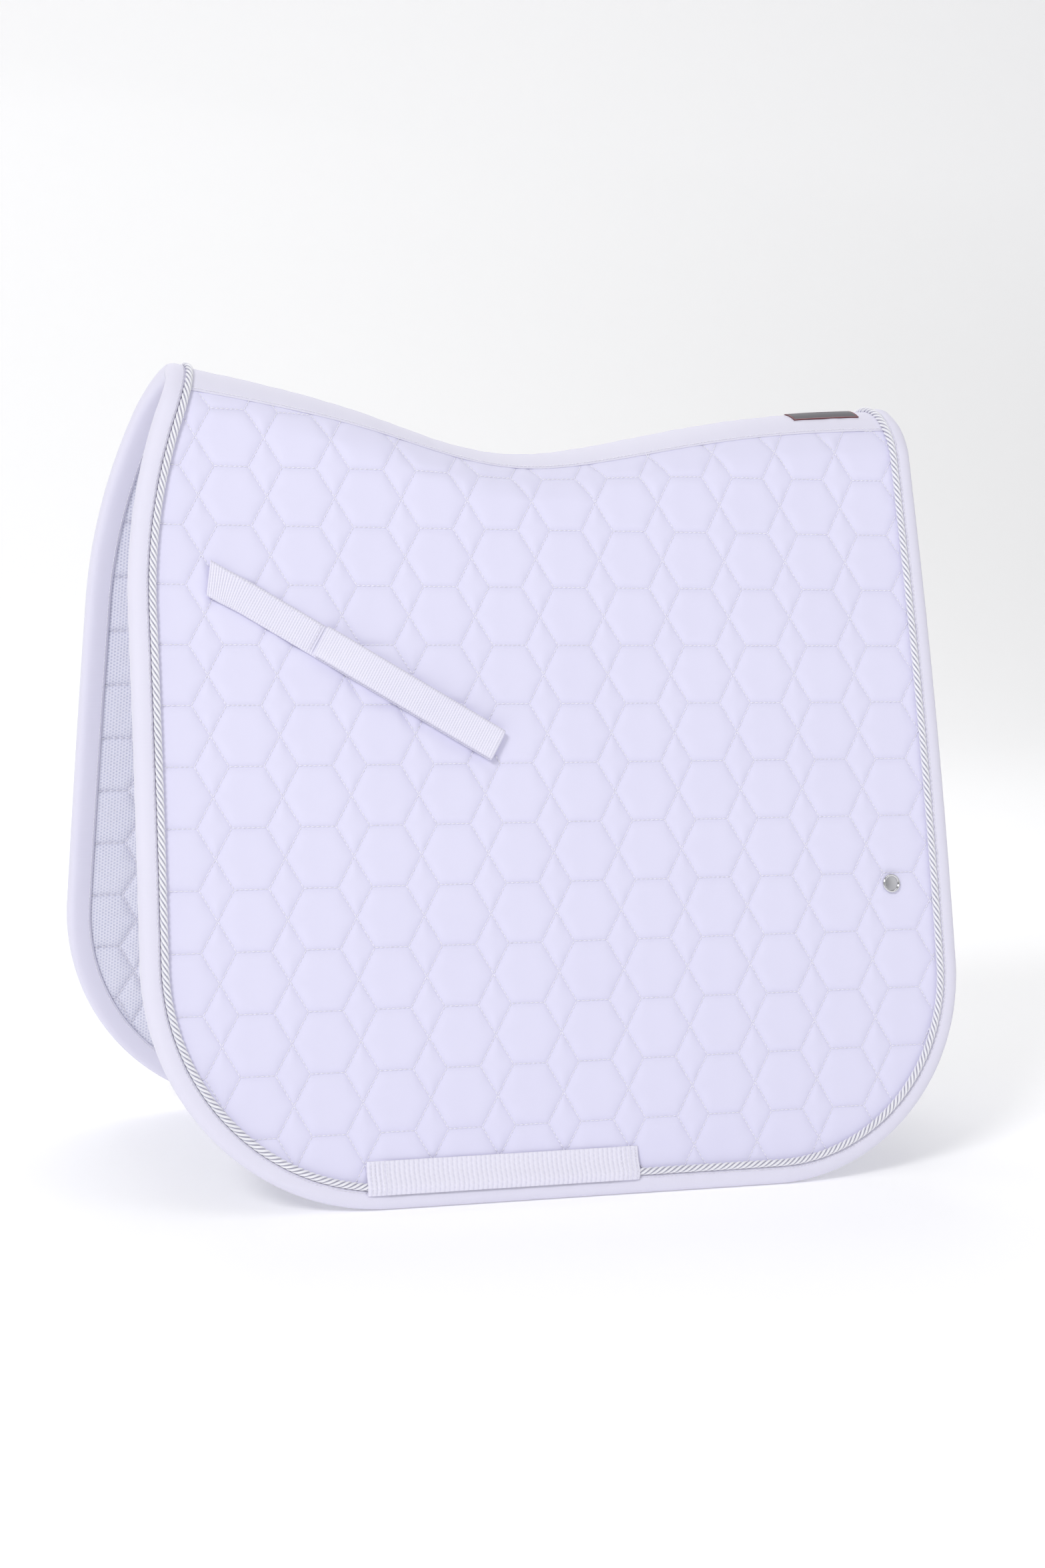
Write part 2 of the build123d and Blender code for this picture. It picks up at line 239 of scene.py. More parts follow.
    def points(self, side: Side, x: Array, w: Array, depth: Array | float) -> Array:
        """Places on the form as points in metres.

        Args:
            side: which half of the pad.
            x: stations.
            w: distances down from the fold line, negative above it.
            depth: distances in from the outer face.

        Returns:
            The points, N x 3.
        """
        x, w, depth = (np.ravel(a).astype(float) for a in np.broadcast_arrays(x, w, depth))
        run = self.run_of(x, w)
        angle = self.slope - np.maximum(run, 0) / self.bow
        reach = self.bow - depth
        y = self.fold_half_width - self.bow * math.cos(self.slope) + reach * np.cos(angle)
        z = self.fold_height - self.bow * math.sin(self.slope) + reach * np.sin(angle)
        top = np.flatnonzero(run < 0)
        station = np.round(x[top], 1)
        order = np.argsort(station, kind="stable")
        cuts = np.flatnonzero(np.diff(station[order])) + 1
        for group in np.split(order, cuts) if len(top) else []:
            at, (runs, ys, zs, ny, nz) = top[group], self.arch(float(station[group[0]]))
            y[at] = np.interp(run[at], runs, ys) - depth[at] * np.interp(run[at], runs, ny)
            z[at] = np.interp(run[at], runs, zs) - depth[at] * np.interp(run[at], runs, nz)
        return np.stack([x, side.value * y, z], axis=1) * MM

    @cached_property
    def outline(self) -> Array:
        """The outline in the side view, (x, z), from above the front crest round the hem to above the rear."""
        lean = math.tan(math.radians(self.front_lean))
        bend = (self.front_taper - self.front_reach, self.front_lean_height)
        top_front = (bend[0] + (self.outline_top - bend[1]) * lean, self.outline_top)
        rear_top = self.rear_reach - self.rear_lean * (self.outline_top + self.hem_drop) / self.hem_drop
        corners = [top_front, bend, (-self.front_reach, -self.hem_drop), (self.rear_reach, -self.hem_drop),
                   (rear_top, self.outline_top)]
        return rounded_path(corners, [self.front_lean_radius, self.front_corner, self.rear_corner], 3.0)

    def top_edge(self, rear: bool, shares: Array) -> Array:
        """The front or rear edge of the top, as (x, w), at shares of the way up to the crest."""
        half = len(self.outline) // 2
        line = self.outline[half:] if rear else self.outline[:half][::-1]
        found = []
        for share in shares:
            x = self.rear_reach if rear else -self.front_reach
            for _ in range(8):
                run, _, z = self.arch(round(float(x), 1))[:3]
                x = float(np.interp(np.interp(-share * self.climb(x), run, z), line[:, 1], line[:, 0]))
            found.append((x, share * self.top_w))
        return np.array(found)

    @cached_property
    def edge(self) -> "EdgeLine":
        """The whole edge of one side, from the front crest round the hem to the rear crest."""
        shares = np.linspace(1, 0, 70)
        low = self.outline[self.outline[:, 1] < self.fold_height - 1]
        flap = np.stack([low[:, 0], self.run_at_height(low[:, 1])], axis=1)
        return EdgeLine(np.vstack([self.top_edge(False, shares), flap, self.top_edge(True, shares[::-1])]))

    def plane(self, side: Side, x: float, run: float, turn: float = 0.0) -> Matrix:
        """A flat frame on a flap's outer face, in metres: x along the piece, y up the flap, z out."""
        angle = self.slope - run / self.bow
        down = Vector((0, side.value * math.sin(angle), -math.cos(angle)))
        along = Vector((1, 0, 0)) * math.cos(turn) + down * math.sin(turn)
        out = Vector((0, side.value * math.cos(angle), math.sin(angle)))
        axes = Matrix((along, out.cross(along), out)).transposed().to_4x4()
        return Matrix.Translation(Vector(self.points(side, x, run, 0.0)[0])) @ axes


@dataclass
class EdgeLine:
    """A line along an edge in (x, w), with its inward normals."""

    corners: Array
    pitch: float = 3.0

    def __post_init__(self) -> None:
        """Spaces the points evenly."""
        lengths = np.concatenate([[0.0], np.cumsum(np.linalg.norm(np.diff(self.corners, axis=0), axis=1))])
        self.length = float(lengths[-1])
        count = round(self.length / self.pitch)
        self.s = np.linspace(0, self.length, count + 1)
        self.at = np.stack([np.interp(self.s, lengths, self.corners[:, k]) for k in (0, 1)], axis=1)
        along = np.gradient(self.at, self.s, axis=0)
        along[0], along[-1] = (0.0, 1.0), (0.0, -1.0)
        along /= np.linalg.norm(along, axis=1)[:, None]
        self.inward = np.stack([along[:, 1], -along[:, 0]], axis=1)

    def offset(self, s: Array, inset: Array) -> tuple[Array, Array]:
        """Places inset from the edge at distances s along it.

        Args:
            s: distances along the edge.
            inset: how far in from the edge.

        Returns:
            Their x and w.
        """
        near = [np.interp(s, self.s, values) for values in (*self.at.T, *self.inward.T)]
        size = np.hypot(near[2], near[3])
        return near[0] + near[2] / size * inset, near[1] + near[3] / size * inset

    def distance(self, x: Array, w: Array) -> Array:
        """How far inside the edge each place is, negative outside it."""
        result = np.empty(len(x))
        for start in range(0, len(x), 4000):
            part = np.stack([x[start:start + 4000], w[start:start + 4000]], axis=1)
            gap = part[:, None, :] - self.at[None]
            near = np.argmin((gap ** 2).sum(2), axis=1)
            rows = np.arange(len(part))
            result[start:start + 4000] = (gap[rows, near] * self.inward[near]).sum(1)
        return result


# --- meshes -------------------------------------------------------------------------------------------------
@dataclass
class Cut:
    """Points, faces and cloth coordinates of a piece before it becomes an object."""

    points: Array
    faces: Array
    cloth: Array

    def joined(self, other: "Cut") -> "Cut":
        """This cut and another as one."""
        return Cut(np.vstack([self.points, other.points]), np.vstack([self.faces, other.faces + len(self.points)]),
                   np.vstack([self.cloth, other.cloth]))

    def piece(self, name: str, finishes: list[bpy.types.Material], parts: Array | None = None,
              smooth: bool = True) -> bpy.types.Object:
        """Makes the object.

        Args:
            name: the object's name.
            finishes: its materials.
            parts: which of them each face has.
            smooth: whether the faces are shaded smooth.

        Returns:
            The new object, in the scene.
        """
        mesh = bpy.data.meshes.new(name)
        mesh.vertices.add(len(self.points))
        mesh.vertices.foreach_set("co", self.points.astype(np.float32).ravel())
        corners, size = self.faces.ravel(), self.faces.shape[1]
        mesh.loops.add(len(corners))
        mesh.loops.foreach_set("vertex_index", corners.astype(np.int32))
        mesh.polygons.add(len(self.faces))
        mesh.polygons.foreach_set("loop_start", np.arange(0, len(corners), size, dtype=np.int32))
        mesh.update(calc_edges=True)
        mesh.validate()
        layer = mesh.uv_layers.new(name=CLOTH_MAP)
        layer.uv.foreach_set("vector", self.cloth[corners].astype(np.float32).ravel())
        for finish in finishes:
            mesh.materials.append(finish)
        if parts is not None:
            mesh.polygons.foreach_set("material_index", parts.astype(np.int32))
        mesh.polygons.foreach_set("use_smooth", np.full(len(self.faces), smooth))
        piece = bpy.data.objects.new(name, mesh)
        bpy.context.scene.collection.objects.link(piece)
        return piece


def add_shade(piece: bpy.types.Object, values: Array) -> None:
    """Stores how far each point is drawn into a furrow, for the finish to darken it with painted shade."""
    shade = piece.data.attributes.new(SEAM_SHADE, "FLOAT", "POINT")
    shade.data.foreach_set("value", values.astype(np.float32))


def grid_faces(rows: int, columns: int, wrap_columns: bool = False, flip: bool = False) -> Array:
    """Faces of a grid of points stored row by row.

    Args:
        rows: number of rows.
        columns: number of points in a row.
        wrap_columns: whether the last column joins the first.
        flip: whether the faces look the other way.

    Returns:
        The faces, N x 4.
    """
    r, c = np.meshgrid(np.arange(rows - 1), np.arange(columns if wrap_columns else columns - 1), indexing="ij")
    a, b = r * columns + c, r * columns + (c + 1) % columns
    faces = np.stack([a, b, b + columns, a + columns], axis=-1).reshape(-1, 4)
    return faces[:, ::-1] if flip else faces


def slab_faces(rows: int, columns: int, flip: bool = False) -> Array:
    """Faces of a closed slab: two grids of points, one after the other, and the wall round them.

    Args:
        rows: number of rows in a grid.
        columns: number of points in a row.
        flip: whether the faces look the other way.

    Returns:
        The faces: the first grid's, the second grid's, then the wall's.
    """
    index = np.arange(rows * columns).reshape(rows, columns)
    rim = np.concatenate([index[:-1, 0], index[-1, :-1], index[:0:-1, -1], index[0, :0:-1]])
    walls = np.stack([rim, np.roll(rim, -1), np.roll(rim, -1) + index.size, rim + index.size], axis=1)
    top = grid_faces(rows, columns)
    faces = np.vstack([top, top[:, ::-1] + index.size, walls[:, ::-1]])
    return faces[:, ::-1] if flip else faces


def tube_cut(rings: Array, cloth: Array, flip: bool) -> Cut:
    """A closed tube from rings of points, with a cap of quads at each end.

    Args:
        rings: points, stations x ring x 3, with an even number in a ring.
        cloth: cloth coordinates, stations x ring x 2.
        flip: whether the faces look the other way.

    Returns:
        The cut.
    """
    stations, ring = rings.shape[:2]
    faces = grid_faces(stations, ring, wrap_columns=True)
    cap = np.array([[k, ring - 1 - k, ring - 2 - k, k + 1] for k in range(ring // 2 - 1)])
    faces = np.vstack([faces, cap, cap[:, ::-1] + (stations - 1) * ring])
    faces = faces[:, ::-1] if flip else faces
    return Cut(rings.reshape(-1, 3), faces, cloth.reshape(-1, 2))


STITCH_RINGS = ((-0.5, -0.35, 0.25), (0.0, 0.35, 0.5), (0.5, -0.35, 0.25))    # along, height, thickness
STITCH_SIDES = 4


def stitch_cut(start: Array, end: Array, out: Array, thread: float) -> Cut:
    """Separate stitches, each a short length of thread that dips into the cloth at its ends.

    Args:
        start: where each stitch comes up, N x 3.
        end: where it goes down.
        out: unit vectors away from the cloth.
        thread: the thread's diameter in metres.

    Returns:
        All the stitches as one cut.
    """
    middle, along = (start + end) / 2, end - start
    across = np.cross(along, out)
    across /= np.linalg.norm(across, axis=1)[:, None]
    rings = []
    for share, height, thick in STITCH_RINGS:
        centre = middle + along * share + out * (height * thread)
        for corner in range(STITCH_SIDES):
            turn = 2 * math.pi * (corner + 0.5) / STITCH_SIDES
            rings.append(centre + (across * math.cos(turn) + out * math.sin(turn)) * (thread * thick))
    points = np.stack(rings, axis=1)
    faces = grid_faces(len(STITCH_RINGS), STITCH_SIDES, wrap_columns=True)
    last = (len(STITCH_RINGS) - 1) * STITCH_SIDES
    faces = np.vstack([faces, [[3, 2, 1, 0]], [[last, last + 1, last + 2, last + 3]]])
    size = points.shape[1]
    every = (np.arange(len(points)) * size)[:, None, None] + faces[None]
    cloth = np.tile(np.stack([np.arange(size) / size, np.repeat(np.arange(3), 4) / 3], axis=1), (len(points), 1))
    return Cut(points.reshape(-1, 3), every.reshape(-1, 4), cloth * MM)


def sewn_row(path: Callable[[Array], Array], out: Callable[[Array], Array], start: float, end: float,
             pitch: float, thread: float) -> Cut:
    """A row of stitches along a path.

    Args:
        path: points in metres at distances along the row, in millimetres.
        out: unit vectors away from the cloth there.
        start: where the row begins.
        end: where it ends.
        pitch: length of a stitch and the hole after it.
        thread: the thread's diameter, in millimetres.

    Returns:
        The cut.
    """
    count = max(1, round((end - start) / pitch))
    centre = start + (np.arange(count) + 0.5) * (end - start) / count
    half = 0.42 * pitch
    return stitch_cut(path(centre - half), path(centre + half), out(centre), thread * MM)


# --- finishes -----------------------------------------------------------------------------------------------
def linear(colour: str) -> tuple[float, float, float, float]:
    """A hex sRGB colour as linear red, green, blue and alpha."""
    parts = (int(colour[k:k + 2], 16) / 255 for k in (1, 3, 5))
    return (*(p / 12.92 if p <= 0.04045 else ((p + 0.055) / 1.055) ** 2.4 for p in parts), 1.0)


def add_node(tree: bpy.types.NodeTree, kind: str, settings: dict | None = None,
             **sockets: object) -> bpy.types.Node:
    """Adds one node with its settings and links.

    Args:
        tree: the material's node tree.
        kind: the node's type, without "ShaderNode".
        settings: its properties.
        sockets: values or output sockets for its inputs; a name like in0 is an input's number.

    Returns:
        The node.
    """
    node = tree.nodes.new("ShaderNode" + kind)
    for name, value in (settings or {}).items():
        setattr(node, name, value)
    for name, value in sockets.items():
        socket = node.inputs[int(name[2:]) if name[:2] == "in" and name[2:].isdigit() else name.replace("_", " ")]
        if isinstance(value, bpy.types.NodeSocket):
            tree.links.new(value, socket)
        else:
            socket.default_value = value
    return node


@dataclass(frozen=True)
class Finish:
    """What every finish shares: its name, base colour and gloss."""

    name: str
    colour: str
    shade: str
    roughness: float = 0.75
    sheen: float = 0.25
    metallic: float = 0.0
    bump: float = 0.3
    relief: float = 0.1        # depth of the pattern, mm
    quilted: float = 0.0       # how much painted shade darkens it where the stitching or a groove draws it in

    def pattern(self, tree: bpy.types.NodeTree, u: bpy.types.NodeSocket,
                v: bpy.types.NodeSocket) -> bpy.types.NodeSocket:
        """The pattern's height, 0 to 1, from the cloth coordinates in millimetres."""
        noise = add_node(tree, "TexNoise", None, Scale=900.0, Detail=2.0)
        return noise.outputs[0]

    def wave(self, tree: bpy.types.NodeTree, u: bpy.types.NodeSocket, v: bpy.types.NodeSocket,
             across: float, down: float) -> bpy.types.NodeSocket:
        """A wave that repeats across mm^-1 times along u and down mm^-1 times along v, -1 to 1."""
        first = add_node(tree, "Math", {"operation": "MULTIPLY"}, in0=u, in1=across * 2 * math.pi)
        second = add_node(tree, "Math", {"operation": "MULTIPLY_ADD"}, in0=v, in1=down * 2 * math.pi,
                          in2=first.outputs[0])
        return add_node(tree, "Math", {"operation": "SINE"}, in0=second.outputs[0]).outputs[0]

    def material(self) -> bpy.types.Material:
        """Makes the material: the pattern gives the bump and darkens its hollows with painted shade; a slow drift
        varies the colour; painted shade darkens it where stitching or a groove draws it in.
        """
        made = bpy.data.materials.new(self.name)
        made.use_nodes = True
        tree = made.node_tree
        tree.nodes.clear()
        cloth = add_node(tree, "UVMap", {"uv_map": CLOTH_MAP}).outputs[0]
        scaled = add_node(tree, "VectorMath", {"operation": "SCALE"}, in0=cloth, Scale=1 / MM).outputs[0]
        parts = add_node(tree, "SeparateXYZ", None, Vector=scaled)
        height = self.pattern(tree, parts.outputs[0], parts.outputs[1])
        drift = add_node(tree, "TexNoise", {"noise_dimensions": "2D"}, Vector=cloth, Scale=14.0, Detail=3.0)
        shade = add_node(tree, "Math", {"operation": "MULTIPLY_ADD", "use_clamp": True},
                         in0=drift.outputs[0], in1=0.35, in2=height)
        # the ramp's dark end paints shade into the pattern's hollows and gives random darker tone where the drift is
        # low
        colour = add_node(tree, "ValToRGB", None, Fac=shade.outputs[0])
        colour.color_ramp.elements[0].color = linear(self.shade)
        colour.color_ramp.elements[0].position = 0.1
        colour.color_ramp.elements[1].color = linear(self.colour)
        colour.color_ramp.elements[1].position = 0.62
        bump = add_node(tree, "Bump", None, Strength=self.bump, Distance=self.relief * MM, Height=height)
        # painted shade: the colour is darkened towards #8F8CA8 where the point lies in a furrow beside stitching or
        # between strands
        painted_shade_attribute = add_node(tree, "Attribute", {"attribute_name": SEAM_SHADE})
        seam = add_node(tree, "Math", {"operation": "MULTIPLY"}, in0=painted_shade_attribute.outputs["Fac"], in1=self.quilted)
        shaded = add_node(tree, "MixRGB", {"blend_type": "MULTIPLY"}, Fac=seam.outputs[0], Color1=colour.outputs[0],
                          Color2=linear("#8F8CA8"))
        shader = add_node(tree, "BsdfPrincipled", None, Base_Color=shaded.outputs[0], Roughness=self.roughness,
                          Metallic=self.metallic, Sheen_Weight=self.sheen, Normal=bump.outputs[0])
        output = add_node(tree, "OutputMaterial", None, Surface=shader.outputs[0])
        output.is_active_output = True
        return made


@dataclass(frozen=True)
class BrushedCotton(Finish):
    """Fine plain-woven cotton and polyester, calendered: smooth and matt with a soft sheen.

    Real threads lie 0.3 mm apart; they are drawn 0.9 mm apart, which is as fine as shows.
    """

    thread_pitch: float = 0.9

    def pattern(self, tree: bpy.types.NodeTree, u: bpy.types.NodeSocket,
                v: bpy.types.NodeSocket) -> bpy.types.NodeSocket:
        """Crossing threads."""
        warp = self.wave(tree, u, v, 1 / self.thread_pitch, 0)
        weft = self.wave(tree, u, v, 0, 1 / self.thread_pitch)
        both = add_node(tree, "Math", {"operation": "MULTIPLY"}, in0=warp, in1=weft)
        return add_node(tree, "Math", {"operation": "MULTIPLY_ADD"}, in0=both.outputs[0], in1=0.2, in2=0.5).outputs[0]


@dataclass(frozen=True)
class SpacerKnit(Finish):
    """Warp-knitted spacer mesh: rows of small open holes, made grey with painted shade, with smooth yarn between them.
    """

    hole_pitch: float = 2.4

    def pattern(self, tree: bpy.types.NodeTree, u: bpy.types.NodeSocket,
                v: bpy.types.NodeSocket) -> bpy.types.NodeSocket:
        """A triangular net of holes."""
        total: bpy.types.NodeSocket | float = 0.0
        for turn in (0, 60, 120):
            way = math.radians(turn)
            wave = self.wave(tree, u, v, math.cos(way) / self.hole_pitch, math.sin(way) / self.hole_pitch)
            total = add_node(tree, "Math", {"operation": "ADD"}, in0=total, in1=wave).outputs[0]
        return add_node(tree, "MapRange", {"interpolation_type": "SMOOTHSTEP"}, Value=total, From_Min=-1.3,
                        From_Max=0.2, To_Min=0.0, To_Max=0.6).outputs[0]


@dataclass(frozen=True)
class WovenTape(Finish):
    """Narrow woven tape with a fine rib across it, pressed smooth."""

    rib_pitch: float = 1.0
    depth: float = 0.12             # how much painted shade darkens the furrows; it also sets how deep the ribs' bump is

    def pattern(self, tree: bpy.types.NodeTree, u: bpy.types.NodeSocket,
                v: bpy.types.NodeSocket) -> bpy.types.NodeSocket:
        """Ribs, broken by a finer slanting thread."""
        rib = self.wave(tree, u, v, 1 / self.rib_pitch, 0)
        slant = self.wave(tree, u, v, 0.6 / self.rib_pitch, 0.9 / self.rib_pitch)
        both = add_node(tree, "Math", {"operation": "MULTIPLY_ADD"}, in0=slant, in1=0.2, in2=rib)
        return add_node(tree, "Math", {"operation": "MULTIPLY_ADD"}, in0=both.outputs[0], in1=self.depth,
                        in2=0.5).outputs[0]


@dataclass(frozen=True)
class SatinYarn(Finish):
    """Loosely twisted bright filament yarn: long smooth fibres whose streaks of light and shade are partly painted into
    the colour.
    """

    fibre_pitch: float = 0.45

    def pattern(self, tree: bpy.types.NodeTree, u: bpy.types.NodeSocket,
                v: bpy.types.NodeSocket) -> bpy.types.NodeSocket:
        """Fibres that run along the strand and wander a little."""
        fibre = self.wave(tree, u, v, 0.06, 1 / self.fibre_pitch)
        return add_node(tree, "Math", {"operation": "MULTIPLY_ADD"}, in0=fibre, in1=0.25, in2=0.5).outputs[0]


@dataclass(frozen=True)
class StudMetal(Finish):
    """Nickel-plated zinc: polished, or brushed in rings on the face."""

    ring_pitch: float = 0.0

    def pattern(self, tree: bpy.types.NodeTree, u: bpy.types.NodeSocket,
                v: bpy.types.NodeSocket) -> bpy.types.NodeSocket:
        """Turning marks round the stud, or nearly nothing where it is polished."""
        if not self.ring_pitch:
            return add_node(tree, "TexNoise", None, Scale=60.0).outputs[0]
        rings = self.wave(tree, u, v, 0, 1 / self.ring_pitch)
        return add_node(tree, "Math", {"operation": "MULTIPLY_ADD"}, in0=rings, in1=0.3, in2=0.5).outputs[0]


class Finishes:
    """The materials, each made once."""

    def __init__(self) -> None:
        """Makes them all."""
        # quilted sets how much painted shade each finish gets in its furrows
        self.quilt = BrushedCotton("quilt_cotton", "#E4E2F9", "#D6D3EE", 0.8, 0.2, bump=0.25, relief=0.08,
                                   quilted=0.13).material()
        self.lining = SpacerKnit("spacer_knit", "#EEEEFB", "#CDCFE4", 0.85, 0.15, bump=0.6, relief=0.5,
                                 quilted=0.25).material()
        self.tape = WovenTape("binding_tape", "#E5E3F3", "#D8D6EA", 0.75, 0.2, bump=0.3, relief=0.08).material()
        self.cord = SatinYarn("satin_cord", "#FBFBFF", "#D4D4E0", 0.38, 0.1, bump=0.5, relief=0.15,
                              quilted=0.75).material()
        self.webbing = WovenTape("ribbed_webbing", "#ECEAFA", "#C9C7DF", 0.6, 0.2, bump=0.6, relief=0.2,
                                 rib_pitch=2.0, depth=0.3).material()
        self.girth = WovenTape("basket_webbing", "#ECEAF8", "#CBC9DE", 0.65, 0.2, bump=0.6, relief=0.2,
                               rib_pitch=3.7, depth=0.25).material()
        self.thread = SatinYarn("polyester_thread", "#F8F7FF", "#E2E0F0", 0.5, 0.1, bump=0.2, relief=0.05).material()
        self.hooks = SpacerKnit("hook_and_loop_pile", "#F2F2F6", "#B8B8C4", 0.9, 0.3, bump=0.8, relief=0.5,
                                hole_pitch=1.2).material()
        self.label = WovenTape("damask_label", "#3C3A44", "#232128", 0.6, 0.2, bump=0.4, relief=0.1).material()
        self.label_edge = SatinYarn("overlock_thread", "#6E1F2C", "#3A0F18", 0.5, 0.1, bump=0.3).material()
        self.polished = StudMetal("polished_nickel", "#D9D9DC", "#C8C8CC", 0.12, 0.0, 1.0, bump=0.02).material()
        self.satin = StudMetal("satin_nickel", "#C9C9CE", "#A5A5AB", 0.34, 0.0, 1.0, bump=0.25, relief=0.05,
                               ring_pitch=0.5).material()


# --- the quilt ----------------------------------------------------------------------------------------------
@dataclass(frozen=True)
class QuiltLattice:
    """The quilting: rows of regular hexagons with diamonds between them."""

    pitch_x: float = 52.0
    pitch_run: float = 45.03
    column_zero: float = -286.0
    row_zero: float = -91.01
    flat_half: float = 13.0         # half of a hexagon's flat edge
    softness: float = 3.6           # how quickly a cell rises beside its stitching

    def steps(self, x: Array, run: Array) -> tuple[Array, Array]:
        """Places as counts of columns and rows."""
        return (x - self.column_zero) / self.pitch_x, (run - self.row_zero) / self.pitch_run

    def distance(self, x: Array, run: Array) -> Array:
        """Distance from each place to the nearest line of stitching."""
        j, i = self.steps(x, run)
        t = i - np.floor(i)
        lean = self.pitch_run / math.hypot(self.pitch_run, self.pitch_x / 2)
        slants = [np.abs((j - at + 0.5) % 1 - 0.5) * self.pitch_x * lean for at in (0.25 + t / 2, 0.75 - t / 2)]
        along = np.abs((j + 0.5) % 1 - 0.5) * self.pitch_x
        flat = np.hypot(np.maximum(along - self.flat_half, 0), np.minimum(t, 1 - t) * self.pitch_run)
        return np.minimum(np.minimum(*slants), flat)

    def dome(self, x: Array, run: Array) -> Array:
        """How high the quilt stands, from 0 on a stitched line to 1 in the middle of a hexagon."""
        full = 1 - math.exp(-0.43 * self.pitch_x / self.softness)
        return (1 - np.exp(-self.distance(x, run) / self.softness)) / full

    def lines(self, x_range: tuple[float, float], run_range: tuple[float, float]) -> list[tuple[Array, Array]]:
        """The stitched lines that could cross an area, as pairs of (x, run) ends."""
        found = []
        j_low, j_high = (math.floor((x - self.column_zero) / self.pitch_x) for x in x_range)
        i_low, i_high = (math.floor((run - self.row_zero) / self.pitch_run) for run in run_range)
        for i in range(i_low, i_high + 2):
            for j in range(j_low, j_high + 2):
                for ends in (((-0.25, 0), (0.25, 0)), ((0.25, 0), (0.75, 1)), ((0.75, 0), (0.25, 1))):
                    found.append(tuple(np.array([self.column_zero + (j + a) * self.pitch_x,
                                                 self.row_zero + (i + b) * self.pitch_run]) for a, b in ends))
        return found


